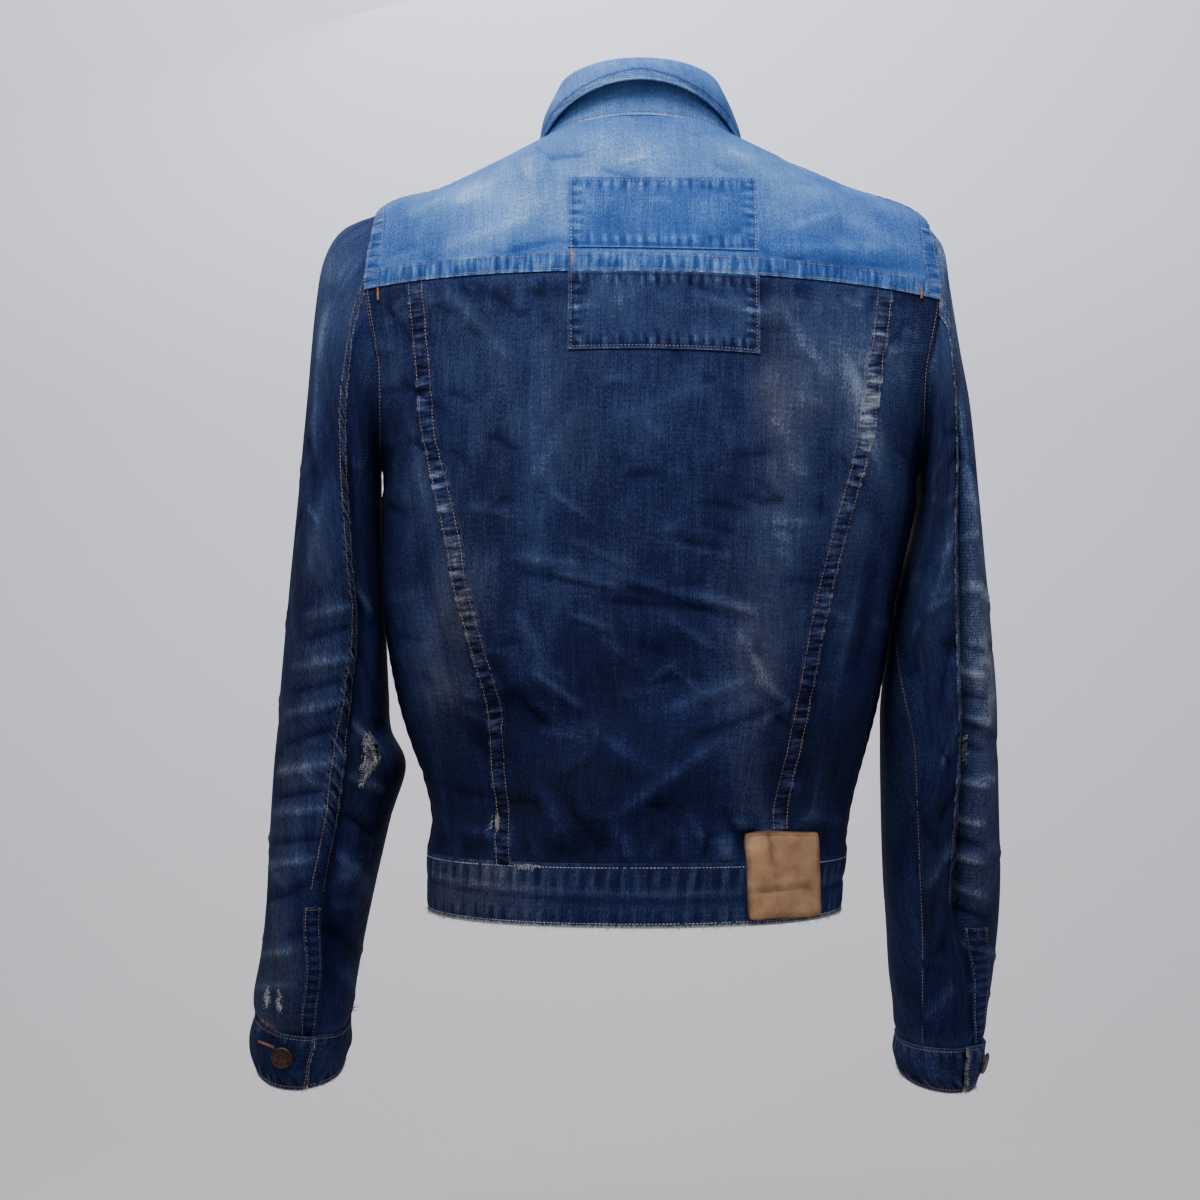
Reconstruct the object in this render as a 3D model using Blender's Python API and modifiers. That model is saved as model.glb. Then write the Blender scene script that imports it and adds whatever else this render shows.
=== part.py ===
"""A worn denim trucker jacket, filled out as if on a figure, with its sleeves hanging empty.

Metres, +Z up. The front faces -Y and the wearer's left is +X. The origin is at the base of the neck,
where the shoulders carry the jacket. Every cloth piece is an open sheet laid on one shared body or
sleeve surface and thickened outwards, so its neighbours meet it edge to edge.
"""

import math

import bmesh
import bpy
from mathutils import Vector

MM = 0.001

# Cloth and making sizes, in millimetres.
CLOTH = 1.4
DOUBLE = 2.4
SEAM_GAP = 0.9
FELL_WIDTH = 12.0
FELL_RISE = 1.1
FELL_RAMP = 3.0
STACK_GAP = 0.5
LAID_GAP = 0.8

# Rings of the body from hem to neck. Each is: height at the back, side and front; half width;
# shift to the wearer's left; depth to the back and to the front; squareness of the oval; how much
# higher the left side is than the middle.
BODY_RINGS = (
    (-577.0, -575.0, -577.0, 155.5, 1.0, 119.0, 121.0, 2.3, 0.0),
    (-532.0, -532.0, -532.0, 158.0, -1.0, 117.0, 121.0, 2.3, 0.0),
    (-494.0, -494.0, -494.0, 159.0, -4.0, 116.0, 121.0, 2.3, 0.0),
    (-418.0, -418.0, -418.0, 181.0, -2.0, 117.0, 124.0, 2.3, 0.0),
    (-340.0, -340.0, -340.0, 194.0, -2.5, 120.0, 127.0, 2.4, 0.0),
    (-266.0, -275.0, -266.0, 201.0, -9.5, 121.0, 129.0, 2.5, 0.0),
    (-222.0, -245.0, -225.0, 203.0, -11.0, 120.5, 128.0, 2.5, 1.0),
    (-165.0, -190.0, -172.0, 226.0, -11.5, 116.0, 122.0, 2.3, 3.0),
    (-104.0, -120.0, -128.0, 243.0, -12.0, 104.0, 113.0, 2.1, 4.5),
    (-72.0, -52.0, -100.0, 208.0, -12.0, 94.0, 103.0, 2.0, 3.0),
    (-34.0, -31.5, -82.0, 155.0, -8.0, 83.0, 92.0, 2.0, 0.0),
    (-4.0, -11.5, -70.0, 109.0, -5.0, 75.0, 84.0, 2.0, 0.0),
    (16.0, 5.0, -62.0, 71.0, -3.0, 67.0, 76.0, 2.0, 0.0),
)
RISE_POWER = 1.5
HEM, WAIST_SEAM, ARMPIT, YOKE_SEAM, SHOULDER_TIP, NECK = 0, 1, 6, 8, 9, 12

# Armhole: an oval in angle and ring number, centred on the side of the body.
ARMHOLE_MID = (ARMPIT + SHOULDER_TIP) / 2
ARMHOLE_REACH = (SHOULDER_TIP - ARMPIT) / 2
ARMHOLE_BACK = math.radians(32.0)
ARMHOLE_FRONT = math.radians(36.0)
YOKE_TURN = math.degrees(math.acos((ARMHOLE_MID - YOKE_SEAM) / ARMHOLE_REACH))

# Back panel seams: how far each lies from the body's middle, every half ring from waist to yoke.
PANEL_SEAM = {
    1: (101.0, 101.5, 102.5, 108.5, 108.0, 118.0, 128.5, 136.0, 143.0, 148.0, 153.0, 157.0, 160.0, 163.5, 167.0),
    -1: (105.5, 107.0, 108.5, 115.5, 124.0, 131.0, 138.5, 148.0, 157.0, 163.0, 166.5, 172.0, 177.0, 182.0, 186.0),
}

# Soft folds of the back: ends (x, z), width and height of each ridge; a trough has a minus height.
BACK_FOLDS = (
    (-120.0, -205.0, -70.0, -470.0, 26.0, 3.5),
    (-95.0, -170.0, -45.0, -330.0, 18.0, -3.0),
    (-65.0, -445.0, 55.0, -505.0, 24.0, 4.5),
    (-20.0, -400.0, 95.0, -455.0, 26.0, -4.0),
    (118.0, -330.0, 92.0, -400.0, 16.0, 4.5),
    (135.0, -420.0, 118.0, -512.0, 14.0, 4.0),
    (112.0, -440.0, 104.0, -500.0, 12.0, -4.0),
    (-110.0, -470.0, -75.0, -520.0, 12.0, -3.0),
    (110.0, -150.0, 60.0, -250.0, 24.0, -2.5),
)

# Sleeve rings from below the shoulder to the hem of the cuff. Each is: outer point (x, z); inner
# point (x, z); half depth; middle in y; droop at the back; depth of the fold beside the back seam;
# turn of the back seam and of the front seam round the ring, in degrees from straight back.
SLEEVE_RINGS = {
    1: (
        (219.0, -60.0, 195.0, -247.0, 62.0, 0.0, 0.0, 0.0, 9.0, -118.0),
        (234.0, -82.0, 195.0, -257.0, 65.0, 0.0, 0.0, 2.0, -4.0, -114.0),
        (241.0, -120.0, 195.0, -272.0, 68.0, -1.0, 0.0, 6.0, -5.0, -110.0),
        (247.0, -182.0, 194.5, -300.0, 70.0, -3.0, 0.0, 10.0, -11.0, -106.0),
        (254.0, -252.0, 193.5, -335.0, 70.0, -5.0, 0.0, 12.0, -22.0, -102.0),
        (262.0, -325.0, 191.0, -375.0, 68.0, -9.0, 0.0, 14.0, -30.0, -100.0),
        (269.0, -395.0, 189.0, -415.0, 66.0, -12.0, 0.0, 14.0, -24.0, -98.0),
        (273.0, -440.0, 187.0, -442.0, 62.0, -14.0, 0.0, 12.0, -17.0, -96.0),
        (276.0, -470.0, 176.0, -469.0, 58.0, -15.0, 0.0, 10.0, -6.0, -96.0),
        (279.0, -512.0, 188.0, -510.0, 56.0, -18.0, 0.0, 11.0, -9.0, -96.0),
        (283.0, -572.0, 203.0, -574.0, 55.0, -26.0, 2.0, 12.0, -7.0, -96.0),
        (288.0, -612.0, 212.0, -618.0, 51.0, -32.0, 5.0, 10.0, -18.0, -96.0),
        (294.0, -642.0, 217.0, -648.0, 48.0, -36.0, 8.0, 7.0, -20.0, -96.0),
        (294.5, -660.0, 219.5, -669.0, 45.0, -39.0, 10.0, 4.0, -20.0, -96.0),
        (297.5, -678.0, 220.5, -682.0, 44.0, -41.0, 12.0, 2.0, -17.0, -96.0),
        (294.0, -698.0, 224.0, -699.0, 42.0, -43.0, 16.0, 0.0, -14.0, -96.0),
    ),
    -1: (
        (230.0, -72.0, 217.5, -249.0, 60.0, -0.5, 0.0, 0.0, 20.0, -118.0),
        (234.5, -100.0, 217.0, -260.0, 65.0, 0.0, 0.0, 3.0, 25.0, -110.0),
        (242.0, -145.0, 215.5, -276.0, 68.0, -1.0, 0.0, 8.0, 20.0, -102.0),
        (251.0, -192.0, 211.5, -300.0, 71.0, -3.0, 0.0, 12.0, 10.0, -95.0),
        (259.0, -262.0, 201.0, -335.0, 72.0, -5.0, 0.0, 16.0, 8.0, -84.0),
        (267.0, -335.0, 193.5, -375.0, 69.0, -9.0, 0.0, 18.0, 10.0, -66.0),
        (274.0, -405.0, 188.5, -418.0, 66.0, -12.0, 0.0, 20.0, 11.0, -44.0),
        (276.0, -445.0, 188.0, -450.0, 62.0, -15.0, 0.0, 20.0, 12.0, -33.0),
        (278.0, -500.0, 189.0, -500.0, 58.0, -20.0, 0.0, 20.0, 7.0, -30.0),
        (280.0, -550.0, 191.0, -552.0, 55.0, -25.0, 0.0, 18.0, 0.0, -29.0),
        (279.0, -590.0, 194.0, -590.0, 52.0, -30.0, 1.0, 13.0, 3.0, -28.0),
        (276.0, -625.0, 196.5, -628.0, 49.0, -34.0, 2.0, 9.0, 16.0, -28.0),
        (272.0, -655.0, 200.0, -655.0, 47.0, -37.0, 3.0, 6.0, 20.0, -29.0),
        (270.0, -682.0, 201.0, -680.0, 44.0, -40.0, 4.0, 3.0, 27.0, -30.0),
        (267.5, -695.0, 199.0, -691.0, 43.0, -41.0, 7.0, 2.0, 31.0, -30.0),
        (262.0, -712.0, 203.0, -703.0, 41.0, -43.0, 9.0, 0.0, 34.0, -30.0),
    ),
}
CUFF_SEAM, CUFF_HEM = 14, 16
FOLD_SPREAD = 11.0
FOLD_FROM_SEAM = {1: -10.0, -1: 10.0}
SLEEVE_SQUARE = 2.3
ARM_TURN_FRONT_SEAM = -28.0
UNDERARM_LIFT = 3.0
ARMHOLE_GAP = 1.1
ARMHOLE_BACK_GAP = {1: 0.6, -1: 3.9}
EDGE_SHARE = -0.35

COLLAR_TOP = (55.0, 45.0, -36.0, 57.0, -3.0, 61.0, 66.0, 2.2, 0.0)
COLLAR_EDGE = (39.0, 7.0, -62.0, 73.0, -3.0, 74.0, 92.0, 2.0, 0.0)
COLLAR_CLOTH = 2.0
COLLAR_POINT_LEVELS = 2.5

BAND_WIDTH = 38.0
BAND_LAP = 8.0
WAIST_LAP = 19.0
CUFF_LAP = 20.0
CUFF_INSET = 2.0
PLACKET_TOP = 10.95
BUTTON_DIAMETER = 17.0
FRONT_BUTTONS = 5

PATCH_LEFT, PATCH_RIGHT = 50.0, -88.0
PATCH_TOP_LEVEL, PATCH_FOLD_LEVEL = 10.0, 8.55
PATCH_SEAM_LEVEL, PATCH_FOOT_LEVEL = 7.92, 7.05
PATCH_CLOTH = 1.0
LEATHER_LEFT, LEATHER_RIGHT = -77.0, -131.0
LEATHER_TOP_LEVEL, LEATHER_FOOT_LEVEL = 1.66, 0.13
LEATHER = 1.6

RIP_LEVEL, RIP_SHARE = 8.5, 0.38
CUFF_BUTTON_TURN = 30.0
RIP_LENGTH, RIP_WIDTH = 15.0, 5.5

DENIM_BLUE = (0.055, 0.13, 0.30)
FADED_BLUE = (0.16, 0.30, 0.52)
TAN_LEATHER = (0.50, 0.30, 0.15)
AGED_COPPER = (0.14, 0.06, 0.035)


def smooth_step(low, high, value):
    t = min(1.0, max(0.0, (value - low) / (high - low)))
    return t * t * (3 - 2 * t)


def spline(values, t):
    """The value at t along a smooth curve through evenly spaced values or vectors."""
    i = min(int(t), len(values) - 2)
    f = t - i
    a, b = values[max(i - 1, 0)], values[i]
    c, d = values[i + 1], values[min(i + 2, len(values) - 1)]
    return (b * 2 + (c - a) * f + (a * 2 - b * 5 + c * 4 - d) * f**2 + (b * 3 - a - c * 3 + d) * f**3) * 0.5


def oval_point(ring, angle):
    """A point on one ring. The angle is 0 at the back and a quarter turn at the wearer's left."""
    z_back, z_side, z_front, half, shift, back, front, square, tilt = ring
    s, c = math.sin(angle), math.cos(angle)
    full = (abs(s) ** square + abs(c) ** square) ** (-1 / square)
    depth, z_end = (back, z_back) if c >= 0 else (front, z_front)
    z = z_side + (z_end - z_side) * abs(c) ** RISE_POWER + tilt * s
    return Vector((shift + (half - CLOTH) * full * s, (depth - CLOTH) * full * c, z))


def back_fold_height(x, z):
    """How far the back's soft folds lift the cloth at a place."""
    lift = 0.0
    for x0, z0, x1, z1, width, height in BACK_FOLDS:
        run = Vector((x1 - x0, z1 - z0))
        along = max(0.0, min(1.0, ((x - x0) * run.x + (z - z0) * run.y) / run.length_squared))
        away = math.hypot(x - x0 - along * run.x, z - z0 - along * run.y)
        lift += height * math.exp(-((away / width) ** 2))
    return lift


def body_point(angle, level):
    """A point on the inner face of the body cloth, in millimetres."""
    ring = [spline(column, level) for column in zip(*BODY_RINGS)]
    place = oval_point(ring, angle)
    c = math.cos(angle)
    if c > 0 and level < YOKE_SEAM:
        calm = smooth_step(WAIST_SEAM, WAIST_SEAM + 0.6, level) * (1 - smooth_step(7.2, YOKE_SEAM, level))
        lift = back_fold_height(place.x, place.z) * smooth_step(0.0, 0.35, c) * calm
        place += Vector((math.sin(angle) * 0.6, c, 0)).normalized() * lift
    return place


def body_normal(angle, level, step=0.01):
    """The outward direction of the body surface."""
    low, high = max(HEM, level - step), min(NECK, level + step)
    along = body_point(angle + step, level) - body_point(angle - step, level)
    up = body_point(angle, high) - body_point(angle, low)
    return up.cross(along).normalized()


def seam_angle(side, level):
    """The angle of the seam beside the back panel."""
    away = spline(PANEL_SEAM[side], (level - WAIST_SEAM) * 2)
    ring = [spline(column, level) for column in zip(*BODY_RINGS)]
    half, shift, square = ring[3] - CLOTH, ring[4], ring[7]
    share = (away - side * shift) / half
    return side * math.atan2(share, (1 - share**square) ** (1 / square))


def armhole(side, turn):
    """Angle and ring number on the armhole: turn 0 is the armpit, 90 the back, 180 the shoulder."""
    t = math.radians(turn)
    reach = ARMHOLE_BACK if math.sin(t) >= 0 else ARMHOLE_FRONT
    return side * (math.pi / 2 - reach * math.sin(t)), ARMHOLE_MID - ARMHOLE_REACH * math.cos(t)


def stops(line, count, fell_start=False, fell_end=False):
    """Shares of a line, evenly spaced along it, with extra ones at a felled edge."""
    points = [line(i / 48) for i in range(49)]
    lengths = [0.0]
    for a, b in zip(points, points[1:]):
        lengths.append(lengths[-1] + (b - a).length)
    total = lengths[-1]
    edge = (0.0, FELL_WIDTH, FELL_WIDTH + FELL_RAMP)
    start = list(edge) if fell_start else [0.0]
    end = [total - e for e in reversed(edge)] if fell_end else [total]
    inner = count + 1 - len(start) - len(end)
    first, last = start[-1], end[0]
    middle = [first + (last - first) * (i + 1) / (inner + 1) for i in range(inner)]
    shares = []
    for goal in start + middle + end:
        i = max(k for k in range(48) if lengths[k] <= goal + 1e-9)
        span = lengths[i + 1] - lengths[i]
        shares.append(min(1.0, (i + (goal - lengths[i]) / span) / 48))
    return shares


def clear_scene():
    for obj in list(bpy.data.objects):
        bpy.data.objects.remove(obj)


def finish(name, colour, roughness=0.9, metallic=0.0):
    material = bpy.data.materials.new(name)
    material.use_nodes = True
    shader = material.node_tree.nodes["Principled BSDF"]
    shader.inputs["Base Color"].default_value = (*colour, 1.0)
    shader.inputs["Roughness"].default_value = roughness
    shader.inputs["Metallic"].default_value = metallic
    return material


def sheet(name, collection, material, rows, thickness, raised=None):
    """A cloth piece: rows of points on its inner face, thickened towards the side that faces out.

    raised(i, j) from 0 to 1 says how much of the felled seam's height a point has, and is a little
    less than 0 where the cloth is pressed thin at its edge.
    """
    count = len(rows[0])
    mesh = bpy.data.meshes.new(name)
    grid = bmesh.new()
    bmesh.ops.create_grid(grid, x_segments=count - 1, y_segments=len(rows) - 1, size=1.0)
    grid.verts.ensure_lookup_table()
    for i, row in enumerate(rows):
        for j, point in enumerate(row):
            grid.verts[i * count + j].co = point * MM
    grid.to_mesh(mesh)
    grid.free()
    obj = bpy.data.objects.new(name, mesh)
    obj.data.materials.append(material)
    collection.objects.link(obj)
    wall = obj.modifiers.new("Cloth wall", "SOLIDIFY")
    wall.offset = 1.0
    wall.use_quality_normals = True
    wall.thickness = thickness * MM
    if raised:
        full = thickness + FELL_RISE
        wall.thickness = full * MM
        group = obj.vertex_groups.new(name="thickness")
        for i in range(len(rows)):
            for j in range(count):
                share = (thickness + FELL_RISE * raised(i, j)) / full
                group.add([i * count + j], share, "REPLACE")
        wall.vertex_group = "thickness"
    return obj


def body_rows(levels, left, right, count, fell_left=False, fell_right=False, lift=0.0):
    """Rows on the body between two edges. left and right map a row number to (angle, level)."""
    rows = []
    for i in range(len(levels)):
        (angle_0, level_0), (angle_1, level_1) = left(i), right(i)

        def line(t, a=angle_0, b=angle_1, c=level_0, d=level_1):
            return body_point(a + (b - a) * t, c + (d - c) * t)

        row = []
        for t in stops(line, count, fell_left, fell_right):
            angle, level = angle_0 + (angle_1 - angle_0) * t, level_0 + (level_1 - level_0) * t
            place = body_point(angle, level)
            row.append(place + body_normal(angle, level) * lift if lift else place)
        rows.append(row[::-1])
    return rows


def angle_step(angle, level, distance):
    """How much the angle changes over a distance along the ring."""
    step = 0.001
    return distance * step / (body_point(angle + step, level) - body_point(angle, level)).length


def level_step(angle, level, distance):
    """How much the ring number changes over a distance up the body."""
    step = 0.001
    top = min(level + step, NECK)
    return distance * step / (body_point(angle, top) - body_point(angle, top - step)).length


# Ring numbers that the pieces below the yoke share, so that their edges match.
LOWER_LEVELS = [WAIST_SEAM + (ARMPIT - WAIST_SEAM) * i / 16 for i in range(17)]
ARMHOLE_TURNS = [22.0, 42.0, 62.0, 82.0, YOKE_TURN]
UPPER_LEVELS = [ARMPIT + (YOKE_SEAM - ARMPIT) * (i + 1) / 5 for i in range(5)]
GAP = SEAM_GAP / 2
PANEL_COLUMNS = 20
SIDE_COLUMNS = 5


def inset_levels(levels):
    """The same ring numbers with the first and last drawn in by half a seam gap."""
    inner = list(levels)
    inner[0] += level_step(math.pi / 2, levels[0], GAP)
    inner[-1] -= level_step(0.0, levels[-1], GAP)
    return inner


def back_panel(collection, material):
    levels = inset_levels(LOWER_LEVELS + UPPER_LEVELS)

    def edge(side, i):
        angle = seam_angle(side, levels[i])
        return angle - side * angle_step(angle, levels[i], GAP), levels[i]

    rows = body_rows(levels, lambda i: edge(-1, i), lambda i: edge(1, i), PANEL_COLUMNS, True, True)
    last = len(rows[0]) - 1
    sheet("back_panel", collection, material, rows, CLOTH, lambda i, j: float(j < 2 or j > last - 2))


def side_edge(side, i, levels):
    """The outer edge of the back side piece: side seam up to the armpit, then the armhole."""
    lower = len(LOWER_LEVELS)
    if i < lower:
        angle = side * math.pi / 2
        return angle - side * angle_step(angle, levels[i], GAP), levels[i]
    angle, level = armhole(side, ARMHOLE_TURNS[i - lower])
    if i == len(levels) - 1:
        level -= level_step(angle, level, GAP)
    return angle - side * angle_step(angle, level, GAP), level


def back_side(name, side, collection, material):
    levels = inset_levels(LOWER_LEVELS + UPPER_LEVELS)

    def inner(i):
        angle = seam_angle(side, levels[i])
        return angle + side * angle_step(angle, levels[i], GAP), levels[i]

    def outer(i):
        return side_edge(side, i, levels)

    left, right = (inner, outer) if side > 0 else (outer, inner)
    rows = body_rows(levels, left, right, SIDE_COLUMNS)
    sheet(name, collection, material, rows, CLOTH)


YOKE_TURNS = [YOKE_TURN, 128.0, 146.0, 163.0, 180.0]
YOKE_CENTRE = [YOKE_SEAM + 0.32 * i for i in range(5)]
SHOULDER_ROWS = 6
SHOULDER_LEVELS = [SHOULDER_TIP + (NECK - SHOULDER_TIP) * i / SHOULDER_ROWS for i in range(SHOULDER_ROWS + 1)]


def yoke_seam_row():
    """Angles along the yoke seam that match the top edges of the three pieces below it."""
    level = YOKE_SEAM
    ends = [-armhole(1, YOKE_TURN)[0], seam_angle(-1, level), seam_angle(1, level), armhole(1, YOKE_TURN)[0]]
    angles = []
    for a, b, count, felled in zip(ends, ends[1:], (SIDE_COLUMNS, PANEL_COLUMNS, SIDE_COLUMNS), (0, 1, 0)):
        shares = stops(lambda t, a=a, b=b: body_point(a + (b - a) * t, level), count, felled, felled)
        angles += [a + (b - a) * t for t in shares[:-1]]
    return angles + [ends[-1]]


def yoke(collection, material):
    start = YOKE_CENTRE[-1]
    centres = YOKE_CENTRE + [start + (NECK - start) * (i + 1) / SHOULDER_ROWS for i in range(SHOULDER_ROWS)]
    ends = [armhole(1, turn) for turn in YOKE_TURNS] + [(math.pi / 2, level) for level in SHOULDER_LEVELS[1:]]
    seam = yoke_seam_row()
    ends[0] = (ends[0][0], YOKE_SEAM + level_step(ends[0][0], YOKE_SEAM, GAP))
    centres[0] = YOKE_SEAM + level_step(0.0, YOKE_SEAM, GAP)
    centres[-1] -= level_step(0.0, NECK, GAP)
    ends[-1] = (math.pi / 2, NECK - level_step(math.pi / 2, NECK, GAP))
    columns = len(seam) - 1
    rows = []
    for i, ((angle_end, level_end), centre) in enumerate(zip(ends, centres)):
        angle_end -= angle_step(angle_end, level_end, GAP)

        def place(t, a=angle_end, b=level_end, c=centre):
            share = 2 * t - 1
            return a * share, c + (b - c) * abs(share) ** 4

        if i == 0:
            shares = [0.5 + angle / seam[-1] / 2 for angle in seam]
        else:
            shares = stops(lambda t, f=place: body_point(*f(t)), columns, True, True)
        rows.append([body_point(*place(t)) for t in shares][::-1])
    low = rows[0]
    rows.insert(1, [p + (q - p).normalized() * FELL_WIDTH for p, q in zip(low, rows[1])])

    def raised(i, j):
        edge = min(j, columns - j)
        if i < 3 and edge < 1:
            return 0.0
        return float(i < 2 or (edge < 2 and i <= len(YOKE_TURNS)))

    sheet("back_yoke", collection, material, rows, CLOTH, raised)


FRONT_TURNS = [360.0 - t for t in (22.0, 45.0, 68.0, 90.0, 112.0, 134.0, 157.0)]
FRONT_CENTRE = [ARMPIT + 0.40 * (i + 1) for i in range(7)]


def band_edge(level, distance):
    """The angle at a distance from the centre front line, along the ring."""
    return math.pi - angle_step(math.pi, level, distance)


def front_levels():
    """Outer edge (angle, level) and centre level of each row of a front piece."""
    outer = [(math.pi / 2, level) for level in LOWER_LEVELS]
    centre = list(LOWER_LEVELS)
    for turn, level in zip(FRONT_TURNS, FRONT_CENTRE):
        outer.append(armhole(1, turn))
        centre.append(level)
    outer += [(math.pi / 2, level) for level in SHOULDER_LEVELS]
    start = FRONT_CENTRE[-1]
    centre += [start + (NECK - start) * (i + 1) / (SHOULDER_ROWS + 1) for i in range(SHOULDER_ROWS + 1)]
    return outer, centre


def front(name, side, collection, material):
    outer, centre = front_levels()
    outer[0] = (outer[0][0], outer[0][1] + level_step(math.pi / 2, WAIST_SEAM, GAP))
    centre[0] += level_step(math.pi, WAIST_SEAM, GAP)
    outer[-1] = (outer[-1][0], NECK - level_step(math.pi / 2, NECK, GAP))
    centre[-1] -= level_step(math.pi, NECK, GAP)
    rows = []
    for (angle_out, level_out), level_in in zip(outer, centre):
        angle_out += angle_step(angle_out, level_out, GAP)
        angle_in = band_edge(level_in, BAND_WIDTH / 2 + SEAM_GAP)

        def place(t, a=angle_out, b=level_out, c=angle_in, d=level_in):
            share = 1 - (1 - t) ** 1.6
            return side * (a + (c - a) * t), b + (d - b) * share

        def line(t, f=place):
            return body_point(*f(t))

        row = [body_point(*place(t)) for t in stops(line, 7)]
        rows.append(row[::-1] if side > 0 else row)
    sheet(name, collection, material, rows, CLOTH)


def band(name, collection, material, low, high, lift, thickness):
    """A front band: a strip along the centre front from the waist seam to the neck."""
    _, levels = front_levels()
    levels[0] += level_step(math.pi, WAIST_SEAM, GAP)
    levels[-1] -= level_step(math.pi, NECK, GAP)
    rows = []
    for level in levels:
        row = []
        for distance in spaced(low, high, 4):
            angle = math.pi - angle_step(math.pi, level, distance)
            row.append(body_point(angle, level) + body_normal(angle, level) * lift)
        rows.append(row)
    return sheet(name, collection, material, rows, thickness)


def waistband(collection, material):
    """One long strip round the hem that laps over itself at the centre front."""
    columns = 60
    lap = angle_step(math.pi, HEM, WAIST_LAP)
    start, end = -math.pi - lap, math.pi + lap
    levels = [HEM, HEM + 0.34, HEM + 0.66, WAIST_SEAM - level_step(0.0, WAIST_SEAM, GAP)]
    rows = []
    for level in levels:
        row = []
        for j in range(columns + 1):
            angle = start + (end - start) * j / columns
            over = smooth_step(math.pi - 3.2 * lap, math.pi - 1.3 * lap, angle) * (DOUBLE + STACK_GAP)
            row.append(body_point(angle, level) + body_normal(angle, level) * over)
        rows.append(row[::-1])
    sheet("waistband", collection, material, rows, DOUBLE)


def collar_ring(share, angle):
    """A point on the collar stand's inner face, from the neck seam at 0 to the fold at 1."""
    low = [spline(column, NECK) for column in zip(*BODY_RINGS)]
    ring = [a + (b - a) * share for a, b in zip(low, COLLAR_TOP)]
    return oval_point(ring, angle)


COLLAR_COLUMNS = 36
COLLAR_OPEN = 1.5


def collar_angles():
    end = math.pi - math.asin(COLLAR_OPEN / COLLAR_TOP[3])
    return [-end + 2 * end * j / COLLAR_COLUMNS for j in range(COLLAR_COLUMNS + 1)]


def collar_stand(collection, material):
    rows = []
    for share in (0.0, 0.5, 0.97):
        row = []
        for angle in collar_angles():
            side_share = abs(math.sin(angle))
            clear = 0.9 + 1.3 * side_share if math.cos(angle) > 0 else 2.0 + 0.2 * side_share
            low, top = collar_ring(0.0, angle), collar_ring(1.0, angle)
            start = clear / (top - low).length
            row.append(collar_ring(start + (share - start) * share / 0.97, angle))
        rows.append(row[::-1])
    sheet("collar_stand", collection, material, rows, COLLAR_CLOTH)


def collar_edge(angle):
    """The free edge of the turned-down collar: clear of the back, then down on to the fronts."""
    turn = math.degrees(abs(angle))
    edge = oval_point(COLLAR_EDGE, angle)
    on_body = smooth_step(72, 100, turn)
    if on_body == 0:
        return edge
    point_share = smooth_step(95, 150, turn) * (1 - smooth_step(152, 178, turn))
    placed = angle + math.copysign(math.radians(15.6), angle) * point_share
    level = NECK - 0.25 - COLLAR_POINT_LEVELS * point_share
    clear = CLOTH + 0.9 + (2.0 + 2 * STACK_GAP) * smooth_step(140, 158, turn)
    return edge.lerp(body_point(placed, level) + body_normal(placed, level) * clear, on_body)


def collar_fall(collection, material):
    """The turned-down part: over the top of the stand, then down outside it to its edge."""
    profiles = []
    for angle in collar_angles():
        top = collar_ring(1.0, angle)
        up = (top - collar_ring(0.9, angle)).normalized()
        out = Vector((math.sin(angle) * COLLAR_TOP[5], math.cos(angle) * COLLAR_TOP[3], 0)).normalized()
        shoulder = top + out * (COLLAR_CLOTH + 1.8) - up * 1.0
        profile = [top + up * 0.8, top + out * (COLLAR_CLOTH + 0.6) + up * 0.8, shoulder]
        edge = collar_edge(angle)
        for share in (0.25, 0.5, 0.75, 1.0):
            profile.append(shoulder.lerp(edge, share) + out * (2.0 * math.sin(math.pi * share)))
        profiles.append(profile)
    rows = [[profile[k] for profile in reversed(profiles)] for k in range(len(profiles[0]))]
    sheet("collar_fall", collection, material, rows[::-1], COLLAR_CLOTH)


def sleeve_ring_point(side, ring, turn):
    """A point on a sleeve ring. The turn is 0 straight back, 90 outwards and -90 to the body."""
    out_x, out_z, in_x, in_z, depth, middle, droop, fold, seam_turn, _ = ring
    t = math.radians(turn)
    outer, inner = Vector((out_x, middle, out_z)), Vector((in_x, middle, in_z))
    centre = (outer + inner) / 2
    across = (outer - inner) / 2
    across -= across.normalized() * CLOTH
    nearest = (turn - (seam_turn + FOLD_FROM_SEAM[side]) + 180) % 360 - 180
    dent = fold / depth * math.exp(-((nearest / FOLD_SPREAD) ** 2))
    s, c = math.sin(t), math.cos(t)
    full = (abs(s) ** SLEEVE_SQUARE + abs(c) ** SLEEVE_SQUARE) ** (-1 / SLEEVE_SQUARE)
    offset = across * s * full + Vector((0, depth - CLOTH, 0)) * c * full
    place = centre + offset * (1 - dent)
    place.z -= droop * math.cos(t)
    return Vector((side * place.x, place.y, place.z))


def armhole_start(side, turn):
    """Where the sleeve's edge lies at the armhole, clear of the body cloth."""
    angle, level = armhole(side, turn)
    place = body_point(angle, level)
    low = (1 + math.cos(math.radians(turn))) / 2
    angle_c, level_c = side * math.pi / 2, ARMHOLE_MID
    inwards = (body_point(angle + (angle_c - angle) * 0.1, level + (level_c - level) * 0.1) - place).normalized()
    behind = smooth_step(75, 95, turn) * (1 - smooth_step(140, 165, turn))
    return place + inwards * (ARMHOLE_GAP + ARMHOLE_BACK_GAP[side] * behind + UNDERARM_LIFT * low**3)


def sleeve_point(side, arm_turn, back_share, t):
    """A point on the sleeve's inner face. back_share is the place between the two sleeve seams."""
    points = [armhole_start(side, arm_turn)]
    for ring in SLEEVE_RINGS[side]:
        back, front_turn = ring[8], ring[9]
        if back_share >= 0:
            turn = back + (front_turn - back) * back_share
        else:
            turn = back + (front_turn + 360 - back) * -back_share
        points.append(sleeve_ring_point(side, ring, turn))
    return spline(points, t)


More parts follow.
